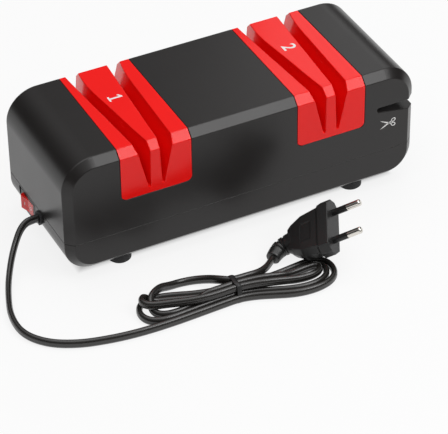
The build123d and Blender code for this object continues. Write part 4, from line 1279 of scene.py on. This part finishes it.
# Printed marks
@dataclass
class Marks(Assembly):
    """Printed marks: a stage number on each guide, the scissors sign and the rocker's signs."""

    film: float = 0.04
    letter_weight: float = 0.012
    number_size: float = 12.0
    one_outline: tuple[tuple[float, float], ...] = (
        (-0.2, -0.36), (0.2, -0.36), (0.2, -0.27), (0.055, -0.27), (0.055, 0.36), (-0.04, 0.36),
        (-0.2, 0.24), (-0.2, 0.13), (-0.055, 0.22), (-0.055, -0.27), (-0.2, -0.27),
    )
    coarse_spot: Point = (-57.4, 6.5, 82.0)
    fine_spot: Point = (54.6, 6.5, 82.0)
    sign_middle: Point = (93.8, -44.0, 45.9)
    ring_radius: float = 1.3
    ring_width: float = 0.5
    ring_sides: int = 24
    ring_place: float = 3.3
    ring_stretch: float = 1.25
    hub: Point = (0.9, 0.0, 0.0)
    blade_length: float = 8.4
    blade_belly: float = 0.55
    blade_taper: float = 0.35
    half_angle: float = 27.0
    pivot: Point = (-108.0, 14.5, 18.8)
    rocker_turn: float = 10.0
    rocker_rise: tuple[float, float] = (5.4, 4.45)
    rocker_half: float = 6.434
    rocker_size: float = 3.4

    def printed(self, name: str, mesh: Mesh, place: Matrix, body: str = "body") -> None:
        """Put a printed mark, flat and in millimetres, on the surface of a body."""
        mesh.transform(place @ Matrix.Scale(MM, 4))
        self.finish(link(name, mesh), "ink_white", body, named=False)

    def lettering(self, text: str) -> Mesh:
        """A short text as a thin solid, centred, one unit high.

        Args:
            text: The characters.

        Returns:
            The mesh.
        """
        curve = bpy.data.curves.new(f"text_{text}", "FONT")
        curve.body = text
        curve.align_x = "CENTER"
        curve.align_y = "CENTER"
        curve.size = 1.0
        curve.extrude = self.film / self.number_size
        curve.offset = self.letter_weight
        letters = link(f"text_{text}", curve)
        mesh = as_mesh(letters, f"lettering_{text}")
        bpy.data.objects.remove(letters)
        return mesh

    def figure_one(self) -> Mesh:
        """The figure 1 with a flag and a foot, as a thin solid, centred, one unit high.

        Returns:
            The mesh.
        """
        film = self.film / self.number_size
        shape = bmesh.new()
        shape.faces.new([shape.verts.new((x, y, -film)) for x, y in self.one_outline])
        return raised(shape, "figure_one", 2 * film)

    def guide_numbers(self) -> None:
        """Print the stage numbers on the ridges between the slots, to be read from the left."""
        for name, mesh, spot in (
            ("mark_coarse_stage", self.figure_one(), self.coarse_spot),
            ("mark_fine_stage", self.lettering("2"), self.fine_spot),
        ):
            turn = Matrix.Rotation(radians(-90), 4, "Z")
            mesh.transform(Matrix.Scale(self.number_size, 4))
            self.printed(name, mesh, Matrix.Translation(metres(spot)) @ turn)

    def scissors_half(self, shape: Shape, sign: float) -> None:
        """Add one half of the scissors: a finger ring and the blade across the pivot.

        Args:
            shape: The sign's shape, flat, in millimetres.
            sign: 1 for the upper ring and -1 for the lower one.
        """
        old = set(shape.verts)
        turn = Matrix.Rotation(radians(self.half_angle * sign), 4, "Z")
        hub = Matrix.Translation(self.hub) @ turn
        ring = bmesh.ops.create_circle(
            shape, cap_ends=True, radius=self.ring_radius, segments=self.ring_sides
        )
        disc = ring["verts"][0].link_faces[0]
        bmesh.ops.inset_region(shape, faces=[disc], thickness=self.ring_width, use_boundary=True)
        bmesh.ops.delete(shape, geom=[disc], context="FACES")
        added = [vertex for vertex in shape.verts if vertex not in old]
        stretch = Matrix.Diagonal((self.ring_stretch, 1.0, 1.0, 1.0))
        beside = Matrix.Translation((self.ring_place, 0.0, 0.0))
        bmesh.ops.transform(shape, verts=added, matrix=hub @ beside @ stretch)
        blade = bmesh.ops.create_grid(shape, x_segments=6, y_segments=1, size=0.5)["verts"]
        bmesh.ops.scale(shape, verts=blade, vec=(self.blade_length, 1.0, 1.0))
        for vertex in blade:
            reach = 0.5 - vertex.co.x / self.blade_length
            vertex.co.y *= 0.5 + self.blade_belly * sin(pi * reach) - self.blade_taper * reach
        forward = Matrix.Translation((-self.blade_length / 4, 0.0, 0.0))
        bmesh.ops.transform(shape, verts=blade, matrix=hub @ forward)

    def scissors(self) -> None:
        """Print a small pair of open scissors beside the scissors slot."""
        shape = bmesh.new()
        for sign in (1.0, -1.0):
            self.scissors_half(shape, sign)
        mesh = raised(shape, "mark_scissors", self.film)
        upright = Matrix.Rotation(radians(90), 4, "X")
        place = Matrix.Translation(metres(self.sign_middle)) @ upright
        self.printed("mark_scissors", mesh, place)

    def rocker_signs(self) -> None:
        """Print the two switch signs on the rocker's pressing faces."""
        (high, low), half = self.rocker_rise, self.rocker_half
        turn = Matrix.Rotation(radians(self.rocker_turn), 4, "Z")
        for name, text, sign in (("mark_switch_on", "I", 1.0), ("mark_switch_off", "O", -1.0)):
            middle = turn @ Vector((-(high + low) / 2, sign * half / 2, 0.0))
            along = (turn @ Vector((-(high - low), sign * half, 0.0))).normalized() * sign
            outward = Vector((-1.0, 0.0, 0.0))
            outward = (outward - along * outward.dot(along)).normalized()
            up = outward.cross(-along)
            mesh = self.lettering(text)
            mesh.transform(Matrix.Scale(self.rocker_size, 4))
            axes = Matrix((-along, up, outward)).transposed().to_4x4()
            place = Matrix.Translation((Vector(self.pivot) + middle) * MM) @ axes
            self.printed(name, mesh, place, "rocker_body")

    def build(self) -> None:
        """Print all marks."""
        self.guide_numbers()
        self.scissors()
        self.rocker_signs()


# Studio
@dataclass(frozen=True)
class Lamp:
    """A square soft lamp that faces the object; its brightness is 1 for white."""

    name: str
    towards: Point
    distance: float
    size: float
    brightness: float

    def hang(self) -> None:
        """Hang the lamp."""
        data = bpy.data.lights.new(self.name, "AREA")
        data.shape = "SQUARE"
        data.size = self.size
        data.energy = self.brightness * pi * self.size * self.size
        lamp = link(self.name, data)
        direction = Vector(self.towards).normalized()
        lamp.location = direction * self.distance
        lamp.rotation_euler = direction.to_track_quat("Z", "Y").to_euler()


@dataclass
class Studio:
    """Camera, white floor and surround, and soft lamps."""

    azimuth: float = -26.24
    elevation: float = 37.46
    roll: float = -0.87
    camera_spot: Point = (-521.1, -1072.4, 893.5)
    lens: float = 200.17
    sensor: float = 36.0
    clip: tuple[float, float] = (0.05, 50.0)
    floor_size: float = 14.0
    floor_gap: float = 0.1
    floor_colour: Colour = (0.82, 0.82, 0.82)
    white_share: float = 0.84
    low_light: float = 0.05
    high_light: float = 2.15
    steepness: float = 4.0
    painted_shadow_half_size: tuple[float, float] = (104.0, 35.5)
    fade: float = 9.0
    lamps: tuple[Lamp, ...] = (
        Lamp("front_lamp", (0.351, -0.607, 0.711), 1.3, 0.6, 4.5),
        Lamp("back_lamp", (0.56, 0.62, 0.55), 1.15, 0.45, 1.0),
    )

    def camera(self) -> None:
        """Place the camera."""
        turn, rise, roll = radians(self.azimuth), radians(self.elevation), radians(self.roll)
        back = Vector((sin(turn) * cos(rise), -cos(turn) * cos(rise), sin(rise)))
        right = Vector((0.0, 0.0, 1.0)).cross(back).normalized()
        up = back.cross(right)
        turned_right = right * cos(roll) + up * sin(roll)
        turned_up = up * cos(roll) - right * sin(roll)
        axes = Matrix((turned_right, turned_up, back)).transposed().to_4x4()
        data = bpy.data.cameras.new("camera")
        data.lens = self.lens
        data.sensor_width = self.sensor
        data.clip_start, data.clip_end = self.clip
        camera = link("camera", data)
        camera.matrix_world = Matrix.Translation(metres(self.camera_spot)) @ axes
        bpy.context.scene.camera = camera

    def floor(self) -> None:
        """Lay a wide floor that stays white round the object, keeps its shadow and has a painted shadow
        under it.
        """
        shape = bmesh.new()
        bmesh.ops.create_grid(shape, x_segments=2, y_segments=2, size=self.floor_size / 2)
        bmesh.ops.translate(shape, verts=shape.verts, vec=(0.0, 0.0, -self.floor_gap * MM))
        floor = link("floor", mesh_of("floor", shape))
        paint = Paint("floor_white")
        speck = paint.noise(0.4, 2.0)
        paint.wear(base_color=paint.shaded(self.floor_colour, 0.01, speck), roughness=0.9)
        seen = paint.rays("Is Camera Ray", "Is Glossy Ray", "Is Transmission Ray")
        # Painted shadow under the case: over its footprint the white glow fades out by position,
        # leaving only the floor's lit diffuse colour.
        length, depth = (half * MM for half in self.painted_shadow_half_size)
        beside = paint.axis("X").size().spread(length - self.fade * MM, length)
        clear = beside.larger(paint.axis("Y").size().spread(depth - self.fade * MM, depth))
        glow = paint.node("ShaderNodeEmission", {}, {"Color": WHITE, "Strength": 1.0})
        white = seen * clear * self.white_share
        both = {0: white, 1: paint.shader.outputs[0], 2: glow.outputs[0]}
        mix = paint.node("ShaderNodeMixShader", {}, both)
        paint.feed(paint.output.inputs["Surface"], mix.outputs[0])
        floor.data.materials.append(paint.material)

    def world(self) -> None:
        """Surround the object with soft light that falls mostly from above and looks white."""
        world = bpy.data.worlds.new("surround")
        world.use_nodes = True
        bpy.context.scene.world = world
        sky = Nodes(world.node_tree)
        direction = sky.node("ShaderNodeTexCoord", {}, {}).outputs["Generated"]
        height = sky.number("ShaderNodeSeparateXYZ", {}, {0: direction}, "Z")
        steep = height.larger(0.0) ** self.steepness
        glow = self.low_light + steep * self.high_light
        seen = sky.rays("Is Camera Ray", "Is Transmission Ray")
        strength = seen + glow * (1.0 - seen)
        shine = sky.node("ShaderNodeBackground", {}, {"Color": WHITE, "Strength": strength})
        sky.node("ShaderNodeOutputWorld", {}, {"Surface": shine.outputs[0]})

    def build(self) -> None:
        """Set up the studio."""
        self.camera()
        self.floor()
        self.world()
        for lamp in self.lamps:
            lamp.hang()
        bpy.context.scene.view_settings.view_transform = "Standard"


def main() -> None:
    """Build the studio and every piece, and dress the CAD nodes."""
    logging.basicConfig(level=logging.INFO, format="%(name)s: %(message)s")
    Studio().build()
    palette = Palette()
    MainsCord(palette).build()
    WheelSprings(palette).build()
    Marks(palette).build()
    palette.dress(list(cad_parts))


if __name__ == "__main__":
    main()
